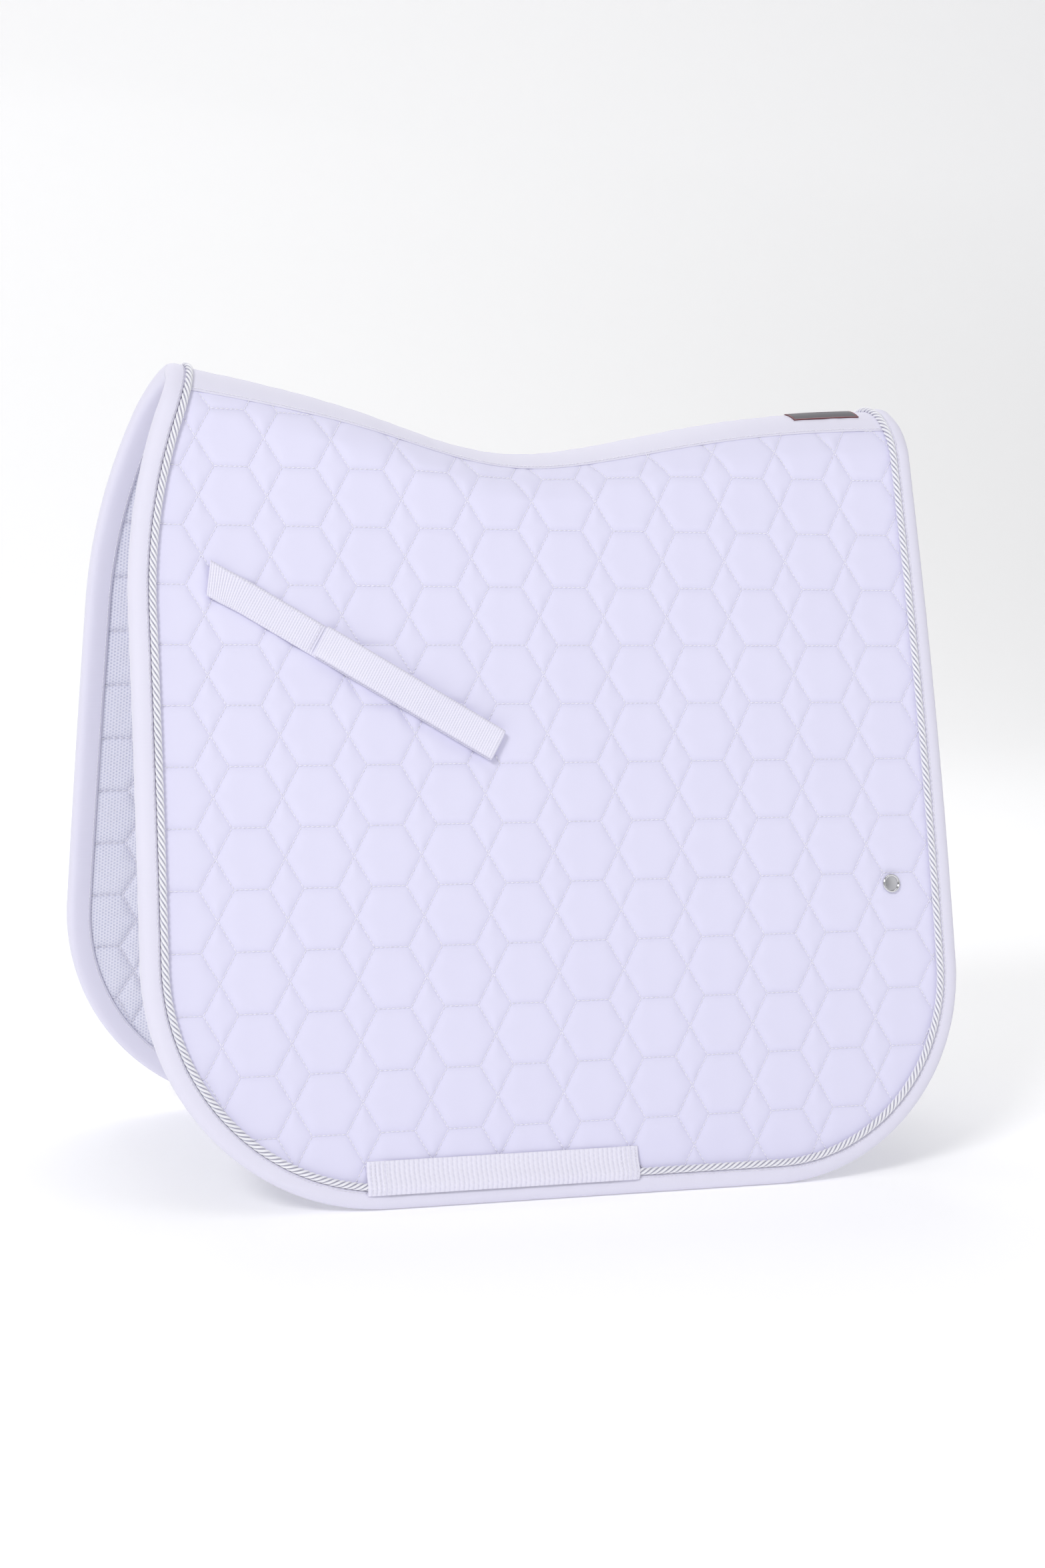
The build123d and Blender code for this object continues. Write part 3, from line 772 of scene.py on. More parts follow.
@dataclass
class Quilt:
    """The two quilted panels: cotton outside, foam inside, spacer mesh against the horse, stitched through."""

    form: PadForm
    finishes: Finishes
    lattice: QuiltLattice = field(default_factory=QuiltLattice)
    sim_cells: int = 8              # mesh steps to a lattice step in the cloth simulation
    stitch_depth: float = 1.8       # the stitching below the outer face
    cell_depth: float = 0.3         # the middle of a cell before it swells
    swell: float = 0.6              # the most that the simulation lifts it
    trim_level: float = 0.75        # share of a cell's height under the trim, where it is pressed flat
    # shares of the way across half a hexagon, a diamond and a row where the mesh has its lines
    hexagon_lines: tuple[float, ...] = (0.0, 0.3, 0.56, 0.76, 0.89, 0.96)
    diamond_lines: tuple[float, ...] = (0.0, 0.05, 0.14, 0.3, 0.5, 0.7, 0.86, 0.95)
    row_lines: tuple[float, ...] = (0.0, 0.03, 0.08, 0.15, 0.24, 0.35, 0.45, 0.5, 0.55, 0.65, 0.76, 0.85, 0.92, 0.97)
    crossing_gap: float = 0.015     # the diamonds' tips are this far from meeting, in columns
    edge_inset: float = 5.0         # the panel ends this far inside the binding
    trim_width: float = 18.0
    tape_half: dict[Face, float] = field(default_factory=lambda: {Face.OUTSIDE: 37.5, Face.LINING: 16.0})
    fade: float = 8.0
    seam_reach: float = 1.1         # how far the painted shade reaches beside the stitching
    thread: float = 0.95
    stitch_pitch: float = 3.71
    pressure: float = 4.0
    frames: int = 20

    def lattice_grid(self, cells: int) -> tuple[Array, Array]:
        """Stations and runs of a grid whose lines fall on the lattice, wide enough for the whole panel."""
        x_step, run_step = self.lattice.pitch_x / cells, self.lattice.pitch_run / cells
        first_x = math.floor((-self.form.front_reach - 8 - self.lattice.column_zero) / x_step)
        last_x = math.ceil((self.form.rear_reach + 8 - self.lattice.column_zero) / x_step)
        first_run = math.floor((-float(np.max(self.form.crest_runs[1])) - self.lattice.row_zero) / run_step)
        last_run = math.ceil((self.form.hem_run - self.lattice.row_zero) / run_step)
        return (self.lattice.column_zero + np.arange(first_x, last_x + 1) * x_step,
                self.lattice.row_zero + np.arange(first_run, last_run + 1) * run_step)

    def seam_grid(self) -> tuple[Array, Array]:
        """Stations and runs of a grid with mesh lines along every stitched line, columns x rows."""
        lattice = self.lattice
        low_j, high_j = (math.floor((x - lattice.column_zero) / lattice.pitch_x)
                         for x in (-self.form.front_reach - 8, self.form.rear_reach + 8))
        low_i, high_i = (math.floor((run - lattice.row_zero) / lattice.pitch_run)
                         for run in (-float(np.max(self.form.crest_runs[1])), self.form.hem_run))
        rows = np.concatenate([i + np.array(self.row_lines) for i in range(low_i, high_i + 1)])
        t = rows - np.floor(rows)
        edge = 0.25 + np.minimum(np.minimum(t, 1 - t) / 2, 0.25 - self.crossing_gap)[None]
        half = np.array(self.hexagon_lines)[:, None]
        gem = np.array(self.diamond_lines)[:, None]
        unit = np.vstack([half * edge, edge + gem * (1 - 2 * edge), 1 - edge, 1 - half[:0:-1] * edge])
        columns = np.vstack([j + unit for j in range(low_j, high_j + 1)])
        return (lattice.column_zero + columns * lattice.pitch_x,
                np.broadcast_to(lattice.row_zero + rows * lattice.pitch_run, columns.shape))

    def swelling(self) -> tuple[Array, Array, Array]:
        """How far the cloth swells between its stitching, by cloth simulation of the whole panel laid flat.

        Returns:
            Stations, runs and the swelling in mm at each, stations x runs.
        """
        x, run = self.lattice_grid(self.sim_cells)
        grid_x, grid_run = np.meshgrid(x, run, indexing="ij")
        dome = self.lattice.dome(grid_x, grid_run)
        rows, columns = grid_x.shape
        levels = (self.stitch_depth * (1 - dome) + self.cell_depth * dome)
        sheets = [np.stack([grid_x, grid_run, height], axis=-1).reshape(-1, 3) for height in
                  (-levels, levels - self.form.thickness)]
        flat = Cut(np.vstack(sheets) * MM, slab_faces(rows, columns), np.zeros((2 * rows * columns, 2)))
        blank = flat.piece("quilt_blank", [])
        pins = blank.vertex_groups.new(name="stitched")
        held = self.lattice.distance(grid_x, grid_run) < 0.5
        held[[0, -1]] = True
        held[:, [0, -1]] = True
        both = np.flatnonzero(np.concatenate([held.ravel(), held.ravel()]))
        pins.add([int(k) for k in both], 1.0, "REPLACE")
        cloth = blank.modifiers.new("swell", "CLOTH")
        settings = cloth.settings
        settings.quality = 4
        settings.mass = 0.15
        settings.tension_stiffness = settings.compression_stiffness = 8.0
        settings.shear_stiffness = 4.0
        settings.bending_stiffness = 0.3
        settings.use_pressure = True
        settings.uniform_pressure_force = self.pressure
        settings.shrink_min = -0.02
        settings.vertex_group_mass = pins.name
        settings.effector_weights.gravity = 0.0
        cloth.collision_settings.use_collision = False
        cloth.point_cache.frame_end = self.frames
        scene = bpy.context.scene
        for step in range(1, self.frames + 1):
            scene.frame_set(step)
        seen = blank.evaluated_get(bpy.context.evaluated_depsgraph_get()).data
        after = np.empty(len(seen.vertices) * 3, np.float32)
        seen.vertices.foreach_get("co", after)
        lift = (after.reshape(-1, 3)[:rows * columns, 2] / MM + levels.ravel()).reshape(rows, columns)
        scene.frame_set(1)
        bpy.data.objects.remove(blank)
        LOG.info("cloth simulation: swelling %.2f mm on average, %.2f at most", lift.mean(), lift.max())
        return x, run, self.swell * np.tanh(np.maximum(lift, 0) / self.swell)

    @cached_property
    def swollen(self) -> tuple[Array, Array, Array]:
        """The swelling, worked out once."""
        return self.swelling()

    def swell_at(self, x: Array, run: Array) -> Array:
        """The swelling at any places, read smoothly between the simulation's points."""
        xs, runs, lift = self.swollen
        a = np.clip((x - xs[0]) / (xs[1] - xs[0]), 0, len(xs) - 1.001)
        b = np.clip((run - runs[0]) / (runs[1] - runs[0]), 0, len(runs) - 1.001)
        i, j = a.astype(int), b.astype(int)
        p, q = a - i, b - j
        return (lift[i, j] * (1 - p) * (1 - q) + lift[i + 1, j] * p * (1 - q)
                + lift[i, j + 1] * (1 - p) * q + lift[i + 1, j + 1] * p * q)

    def depth(self, face: Face, x: Array, run: Array, inside: Array) -> Array:
        """Depth of the quilt's face.

        Args:
            face: outside or lining.
            x: stations.
            run: distances down from the fold line.
            inside: distances in from the pad's edge.

        Returns:
            Depths, in mm.
        """
        open_cloth = smoothstep((inside - self.trim_width) / self.fade)
        open_cloth = open_cloth * smoothstep((run + self.form.climb(x) - self.tape_half[face]) / self.fade)
        dome = open_cloth * self.lattice.dome(x, run) + (1 - open_cloth) * self.trim_level
        raised = self.stitch_depth * (1 - dome) + self.cell_depth * dome - open_cloth * self.swell_at(x, run)
        return raised if face is Face.OUTSIDE else self.form.thickness - raised

    def panel(self, side: Side) -> bpy.types.Object:
        """One side's quilted panel, a closed padded body from the crest to the hem."""
        grid = self.seam_grid()
        grid_x, grid_run = (a.ravel() for a in grid)
        w = self.form.w_of(grid_x, grid_run)
        inside = self.form.edge.distance(grid_x, w)
        kept = (inside > self.edge_inset) & (grid_run + self.form.climb(grid_x) > 0.6)
        quads = grid_faces(*grid[0].shape)
        quads = quads[kept[quads].all(1)]
        used = np.zeros(len(grid_x), bool)
        used[quads.ravel()] = True
        number = np.full(len(grid_x), -1)
        number[used] = np.arange(used.sum())
        quads = number[quads]
        count = int(used.sum())
        places = (grid_x[used], w[used])
        points = [self.form.points(side, *places, self.depth(face, grid_x[used], grid_run[used], inside[used]))
                  for face in Face]
        edges = np.vstack([quads[:, [k, (k + 1) % 4]] for k in range(4)])
        keys = edges[:, 0].astype(np.int64) * count + edges[:, 1]
        backs = edges[:, 1].astype(np.int64) * count + edges[:, 0]
        rim = edges[~np.isin(keys, backs)]
        walls = np.stack([rim[:, 1], rim[:, 0], rim[:, 0] + count, rim[:, 1] + count], axis=1)
        faces = np.vstack([quads, quads[:, ::-1] + count, walls])
        if side is Side.LEFT:
            faces = faces[:, ::-1]
        cloth = np.tile(np.stack([grid_x[used], grid_run[used]], axis=1) * MM, (2, 1))
        parts = np.concatenate([np.zeros(len(quads)), np.ones(len(quads) + len(walls))])
        piece = Cut(np.vstack(points), faces, cloth).piece(
            f"{side.word}_quilted_panel", [self.finishes.quilt, self.finishes.lining], parts)
        # painted shade: the colour is darkened beside the stitching, fading out towards the trim
        seam = np.exp(-self.lattice.distance(grid_x[used], grid_run[used]) / self.seam_reach)
        seam = seam * smoothstep((inside[used] - self.trim_width + 2) / 3)
        add_shade(piece, np.tile(seam, 2))
        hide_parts(*(f"{side.word}_{part}" for part in ("outer_shell", "foam_core", "mesh_lining")),
                    "top_outer_shell", "top_foam_core", "top_mesh_lining")
        return piece

    def stitching(self, side: Side, face: Face) -> bpy.types.Object:
        """The quilting thread on one face of a panel."""
        outer = face is Face.OUTSIDE
        pitch = self.stitch_pitch if outer else self.stitch_pitch * 1.4
        centres, ways = [], []
        lines = self.lattice.lines((-self.form.front_reach, self.form.rear_reach),
                                   (-float(np.max(self.form.crest_runs[1])), self.form.hem_run))
        for start, end in lines:
            length = float(np.linalg.norm(end - start))
            count = round(length / pitch)
            shares = (np.arange(count) + 0.5) / count
            centres.append(start + (end - start) * shares[:, None])
            ways.append(np.tile((end - start) / length, (count, 1)))
        centre, way = np.vstack(centres), np.vstack(ways)
        inside = self.form.edge.distance(centre[:, 0], self.form.w_of(centre[:, 0], centre[:, 1]))
        below = centre[:, 1] + self.form.climb(centre[:, 0])
        kept = (inside > self.trim_width + 1.0) & (below > self.tape_half[face] + 2.0)
        centre, way, inside = centre[kept], way[kept], inside[kept]

        def at(places: Array, lift: float) -> Array:
            """Points in metres, lift mm off the face."""
            depth = self.depth(face, places[:, 0], places[:, 1], inside)
            depth = depth - lift if outer else depth + lift
            return self.form.points(side, places[:, 0], self.form.w_of(places[:, 0], places[:, 1]), depth)

        half = 0.42 * pitch
        out = at(centre, 1.0) - at(centre, 0.0)
        out /= np.linalg.norm(out, axis=1)[:, None]
        cut = stitch_cut(at(centre - way * half, 0.25), at(centre + way * half, 0.25), out, self.thread * MM)
        name = "quilting" if outer else "lining_quilting"
        piece = cut.piece(f"{side.word}_{name}_thread", [self.finishes.thread])
        return piece

    def build(self) -> None:
        """Makes both panels with their stitching."""
        for side in Side:
            panel = self.panel(side)
            for piece in (panel, *(self.stitching(side, face) for face in Face)):
                bend_at_fold(self.form, piece, side)
                LOG.info("%s: %d faces", piece.name, len(piece.data.polygons))


def bend_at_fold(form: PadForm, piece: bpy.types.Object, side: Side, reach: float = 24.0) -> None:
    """Bakes a piece's place into its mesh; the fold line's ends, reach mm each side of it, are worked out but not used.
    """
    middle = form.thickness / 2
    start, end = (form.points(side, 0.0, form.w_of(0.0, at), middle)[0] for at in (-reach, reach))
    side.flap
    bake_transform(piece)


# --- trim ---------------------------------------------------------------------------------------------------
@dataclass
class EdgeTrim:
    """The tape folded round the edge, its stitching and the twisted cord beside it."""

    form: PadForm
    finishes: Finishes
    # the tape's section: inset from the edge and depth, round the outside and back along the inside
    tape_section: tuple[tuple[float, float], ...] = (
        (13.5, 0.2), (13.9, -0.5), (13.4, -1.3), (11.5, -1.9), (8.5, -2.2), (5.5, -1.9), (3.0, -0.8), (1.2, 0.9),
        (0.2, 3.2), (0.0, 6.0), (0.2, 8.6), (1.2, 11.0), (3.2, 12.7), (6.0, 13.3), (10.0, 13.4), (14.5, 13.2),
        (17.6, 13.0), (18.3, 12.4), (18.0, 11.8), (13.0, 11.9), (8.0, 11.9), (4.5, 11.2), (2.6, 9.6), (1.6, 7.4),
        (1.6, 4.4), (2.6, 2.2), (4.6, 0.7), (8.5, 0.2))
    ripple: float = 0.25            # how much the tape puckers along its seam
    cord_inset: float = 16.6
    cord_depth: float = -1.9
    strands: int = 4
    strand_r: float = 1.3
    lay: float = 20.8               # length of one full twist
    helix_r: float = 1.6
    strand_sides: int = 10
    cord_step: float = 1.0
    seam_from_crest: float = 13.0   # where the tape's end laps over its start, on the rear crest
    seam_lap: float = 0.8
    row_insets: tuple[tuple[float, float], ...] = ((11.9, -2.1), (16.4, 13.3))   # inset and depth of each row

    def tape(self, side: Side) -> bpy.types.Object:
        """The folded tape all round one side."""
        edge = self.form.edge
        section = np.array(self.tape_section)
        s = np.repeat(edge.s[:, None], len(section), axis=1)
        random = np.random.default_rng(7)
        wander = sum(np.sin(2 * math.pi * s / wave + random.uniform(0, 6.28)) for wave in (9.5, 14.2, 23.0, 41.0))
        lap = self.seam_lap * smoothstep((s - (edge.length - self.seam_from_crest)) / 1.5 + 0.5)
        outside = np.array([1.0] * 9 + [0.0] * (len(section) - 9))[None]
        inset = np.repeat(section[None, :, 0], len(edge.s), axis=0)
        depth = section[None, :, 1] - outside * (self.ripple * wander / 4 + lap)
        x, w = edge.offset(s.ravel(), (inset - 0.4 * lap * outside).ravel())
        rings = self.form.points(side, x, w, depth.ravel()).reshape(*s.shape, 3)
        around = np.concatenate([[0], np.cumsum(np.linalg.norm(np.diff(section, axis=0), axis=1))])
        cloth = np.stack([s, np.repeat(around[None], len(edge.s), axis=0)], axis=-1) * MM
        piece = tube_cut(rings, cloth, flip=side is Side.RIGHT).piece(f"{side.word}_binding", [self.finishes.tape])
        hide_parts(f"{side.word}_edge_binding", "top_front_binding", "top_rear_binding")
        self.tape_width * MM
        return piece

    @property
    def tape_width(self) -> float:
        """Flat width of the tape, round the outside of its section."""
        outer = np.array(self.tape_section)[:18]
        return float(np.linalg.norm(np.diff(outer, axis=0), axis=1).sum())

    def cord(self, side: Side) -> bpy.types.Object:
        """The twisted cord, sewn down beside the tape; its twist carries on over the crest."""
        edge = self.form.edge
        count = round(edge.length / self.cord_step)
        s = np.linspace(0, edge.length, count + 1)
        turns = np.arange(self.strand_sides) * 2 * math.pi / self.strand_sides
        cut = None
        for strand in range(self.strands):
            phase = side.value * 2 * math.pi * s / self.lay + 2 * math.pi * strand / self.strands
            radial = self.helix_r + self.strand_r * np.cos(turns)[None]
            tangent = self.strand_r * 0.95 * np.sin(turns)[None]
            across = radial * np.cos(phase)[:, None] - tangent * np.sin(phase)[:, None]
            away = radial * np.sin(phase)[:, None] + tangent * np.cos(phase)[:, None]
            x, w = edge.offset(np.repeat(s, self.strand_sides), (self.cord_inset + across).ravel())
            rings = self.form.points(side, x, w, (self.cord_depth - away).ravel()).reshape(len(s), -1, 3)
            cloth = np.stack([np.repeat(s[:, None], self.strand_sides, axis=1),
                              np.repeat(turns[None] * self.strand_r, len(s), axis=0)], axis=-1) * MM
            one = tube_cut(rings, cloth, flip=side is Side.RIGHT)
            cut = one if cut is None else cut.joined(one)
        piece = cut.piece(f"{side.word}_twisted_piping", [self.finishes.cord])
        # painted shade in the grooves between the strands
        add_shade(piece, np.tile(smoothstep((0.75 - np.cos(turns)) / 0.9), len(s) * self.strands))
        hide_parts(f"{side.word}_piping", "top_front_piping", "top_rear_piping")
        return piece

    def rows(self, side: Side) -> bpy.types.Object:
        """The tape's stitching, on the outside and on the lining."""
        edge, cut = self.form.edge, None
        for inset, depth in self.row_insets:
            outward = -1.0 if depth < self.form.thickness / 2 else 1.0

            def path(s: Array, lift: float = 0.0) -> Array:
                """Points of the row, lift mm off the tape."""
                x, w = edge.offset(s, np.full(len(s), inset))
                return self.form.points(side, x, w, depth + outward * lift)

            def out(s: Array) -> Array:
                """Unit vectors off the tape."""
                way = path(s, 1.0) - path(s)
                return way / np.linalg.norm(way, axis=1)[:, None]

            one = sewn_row(path, out, 2.0, edge.length - 2.0, 3.4, 0.7)
            cut = one if cut is None else cut.joined(one)
        piece = cut.piece(f"{side.word}_binding_thread", [self.finishes.thread])
        return piece

    def build(self) -> None:
        """Makes the trim of both sides."""
        for side in Side:
            for piece in (self.tape(side), self.cord(side), self.rows(side)):
                bend_at_fold(self.form, piece, side)
                LOG.info("%s: %d faces", piece.name, len(piece.data.polygons))


@dataclass
class SpineTrim:
    """The strip along the crest outside, the tape inside, and the woven label."""

    form: PadForm
    finishes: Finishes
    outer_half: float = 39.5
    outer_depth: float = 0.5
    lining_half: float = 17.0
    lining_depth: float = 12.0
    thickness: float = 1.1
    end_inset: float = 9.0
    row_inset: float = 2.0
    label_x: tuple[float, float] = (236.0, 293.0)
    label_from_crest: tuple[float, float] = (1.5, 21.5)
    label_thickness: float = 0.6
    label_border: float = 1.4

    def across_crest(self, from_crest: Array, share: Array, depth: Array | float) -> Array:
        """Points over the crest.

        Args:
            from_crest: distance from the crest, negative on the left.
            share: from 0 at the front end to 1 at the rear.
            depth: depth in the pad.

        Returns:
            The points, N x 3, in metres.
        """
        from_crest, share, depth = (np.ravel(a) for a in np.broadcast_arrays(from_crest, share, depth))
        w = self.form.top_w + np.abs(from_crest)
        shares = np.clip(-w / -self.form.top_w, 0, 1)
        known = np.linspace(0, 1, 60)
        front, rear = (np.interp(shares, known, self.form.top_edge(at_rear, known)[:, 0]) for at_rear in (False, True))
        x = front + self.end_inset + (rear - front - 2 * self.end_inset) * share
        run = np.abs(from_crest) - self.form.climb(x)
        points = np.empty((len(x), 3))
        for side in Side:
            mine = (from_crest >= 0) == (side is Side.RIGHT)
            points[mine] = self.form.points(side, x[mine], self.form.w_of(x[mine], run[mine]), depth[mine])
        return points

    def strip(self, name: str, half: float, depth: float, outward: float) -> bpy.types.Object:
        """A closed strip over the crest, its edges rounded.

        Args:
            name: the piece's name.
            half: half of its width.
            depth: depth of the face against the quilt.
            outward: -1 on the outside, 1 on the lining.

        Returns:
            The piece.
        """
        span = np.linspace(-1, 1, 31) * half
        bulge = 1 - np.abs(span / half) ** 8
        stations = np.linspace(0, 1, 190)
        random = np.random.default_rng(11)
        wave = sum(np.sin(stations * at * math.tau + random.uniform(0, 6.28)) for at in (13, 27, 41)) / 3
        ring_c = np.concatenate([span, span[::-1]])
        off = np.concatenate([0.35 + (self.thickness - 0.35) * bulge, np.zeros(len(span))])
        loose = np.concatenate([bulge * 0.3, np.zeros(len(span))])
        depths = depth + outward * (off[None] + loose[None] * (wave[:, None] + 0.5))
        rings = self.across_crest(np.repeat(ring_c[None], len(stations), 0), stations[:, None], depths)
        length = self.form.front_reach + self.form.rear_reach
        cloth = np.stack(np.broadcast_arrays(stations[:, None] * length, ring_c[None]), axis=-1) * MM
        cut = tube_cut(rings.reshape(len(stations), len(ring_c), 3), cloth, flip=outward > 0)
        piece = cut.piece(name, [self.finishes.tape])
        return piece

    def rows(self) -> bpy.types.Object:
        """The strip's stitching, one row near each edge."""
        length, cut = self.form.front_reach + self.form.rear_reach, None
        for sign in (-1, 1):
            at = sign * (self.outer_half - self.row_inset)
            level = self.outer_depth - self.thickness

            def path(s: Array, lift: float = 0.0) -> Array:
                """Points of the row, lift mm off the strip."""
                return self.across_crest(np.full(len(s), at), s / length, level - lift)

            def out(s: Array) -> Array:
                """Unit vectors off the strip."""
                way = path(s, 1.0) - path(s)
                return way / np.linalg.norm(way, axis=1)[:, None]

            one = sewn_row(path, out, 4.0, length - 4.0, 3.4, 0.7)
            cut = one if cut is None else cut.joined(one)
        piece = cut.piece("spine_binding_thread", [self.finishes.thread])
        return piece

    def label(self) -> bpy.types.Object:
        """A plain woven label with an overlocked edge."""
        x = np.linspace(*self.label_x, 40)
        c = np.linspace(*self.label_from_crest, 16)
        grid_x, grid_c = np.meshgrid(x, c, indexing="ij")
        low = self.outer_depth - self.thickness - 0.45
        rim = np.minimum(np.minimum(grid_x - x[0], x[-1] - grid_x), np.minimum(grid_c - c[0], c[-1] - grid_c))
        raised = self.label_thickness + 0.35 * np.exp(-((rim - self.label_border / 2) / 0.6) ** 2)
        sheets = []
        for height in (raised, np.zeros_like(raised)):
            run = grid_c.ravel() - self.form.climb(grid_x.ravel())
            w = self.form.w_of(grid_x.ravel(), run)
            sheets.append(self.form.points(Side.LEFT, grid_x.ravel(), w, low - height.ravel()))
        faces = slab_faces(*grid_x.shape, flip=True)
        border = rim.ravel()[grid_faces(*grid_x.shape)].mean(1) < self.label_border
        parts = np.concatenate([border, border, np.ones(len(faces) - 2 * len(border))])
        cloth = np.tile(np.stack([grid_x.ravel(), grid_c.ravel()], axis=1) * MM, (2, 1))
        piece = Cut(np.vstack(sheets), faces, cloth).piece(
            "woven_name_label", [self.finishes.label, self.finishes.label_edge], parts)
        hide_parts("woven_label")
        size = [np.ptp(self.label_x) * MM, np.ptp(self.label_from_crest) * MM]
        return piece

    def build(self) -> None:
        """Makes the strip, the inner tape, the stitching and the label, all on the top."""
        outer = self.strip("spine_strip", self.outer_half, self.outer_depth, -1.0)
        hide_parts("spine_binding")
        inner = self.strip("spine_inner_tape", self.lining_half, self.lining_depth, 1.0)
        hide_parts("spine_lining_tape")
        for piece in (outer, inner, self.rows(), self.label()):
            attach(piece, "spine")
            LOG.info("%s: %d faces", piece.name, len(piece.data.polygons))


# --- straps -------------------------------------------------------------------------------------------------
@dataclass
class Webbing:
    """Ribbed strap webbing that follows a line in a flat frame."""

    width: float = 25.0
    thickness: float = 1.5
    rib_pitch: float = 2.0
    rib_height: float = 0.2
    bead_pitch: float = 0.0         # along a rib, where the weave shows as beads
    step: float = 0.4
    points_across: int = 13

    def cut(self, line: Array, place: Callable[[Array, Array, Array], Array]) -> Cut:
        """The webbing along a line of its middle.

        Args:
            line: points (along, height) of the strap's mid-thickness, N x 2.
            place: gives points in metres from along, across and height.

        Returns:
            The closed cut.
        """
        lengths = np.concatenate([[0.0], np.cumsum(np.linalg.norm(np.diff(line, axis=0), axis=1))])
        s = np.linspace(0, lengths[-1], max(2, round(lengths[-1] / self.step)) + 1)
        u, h = (np.interp(s, lengths, line[:, k]) for k in (0, 1))
        along = np.stack([np.gradient(u, s), np.gradient(h, s)], axis=1)
        along /= np.linalg.norm(along, axis=1)[:, None]
        normal = np.stack([-along[:, 1], along[:, 0]], axis=1)
        span = np.linspace(-1, 1, self.points_across)
        edge = 1 - np.abs(span) ** 6 * 0.55
        across = np.concatenate([span, span[::-1]]) * self.width / 2
        half = np.concatenate([edge, -edge[::-1]])
        rib = np.sin(2 * math.pi * s / self.rib_pitch)[:, None] * np.ones((1, len(across)))
        if self.bead_pitch:
            rib = 0.6 * rib + 0.7 * rib * np.sin(2 * math.pi * across[None] / self.bead_pitch)
        offset = half[None] * (self.thickness / 2 + self.rib_height * rib)
        along_u = u[:, None] + normal[:, :1] * offset
        height = h[:, None] + normal[:, 1:] * offset
        rings = place(along_u.ravel(), np.repeat(across[None], len(s), 0).ravel(), height.ravel())
        cloth = np.stack(np.broadcast_arrays(s[:, None], across[None]), axis=-1) * MM
        return tube_cut(rings.reshape(len(s), -1, 3), cloth, flip=True)


def in_frame(matrix: Matrix) -> Callable[[Array, Array, Array], Array]:
    """A function that places (along, across, height) in mm in a flat frame."""
    turn, origin = np.array(matrix.to_3x3()), np.array(matrix.translation)

    def place(along: Array, across: Array, height: Array) -> Array:
        """Points in metres."""
        local = np.stack([np.ravel(a) for a in np.broadcast_arrays(along, across, height)], axis=1)
        return origin + local * MM @ turn.T

    return place


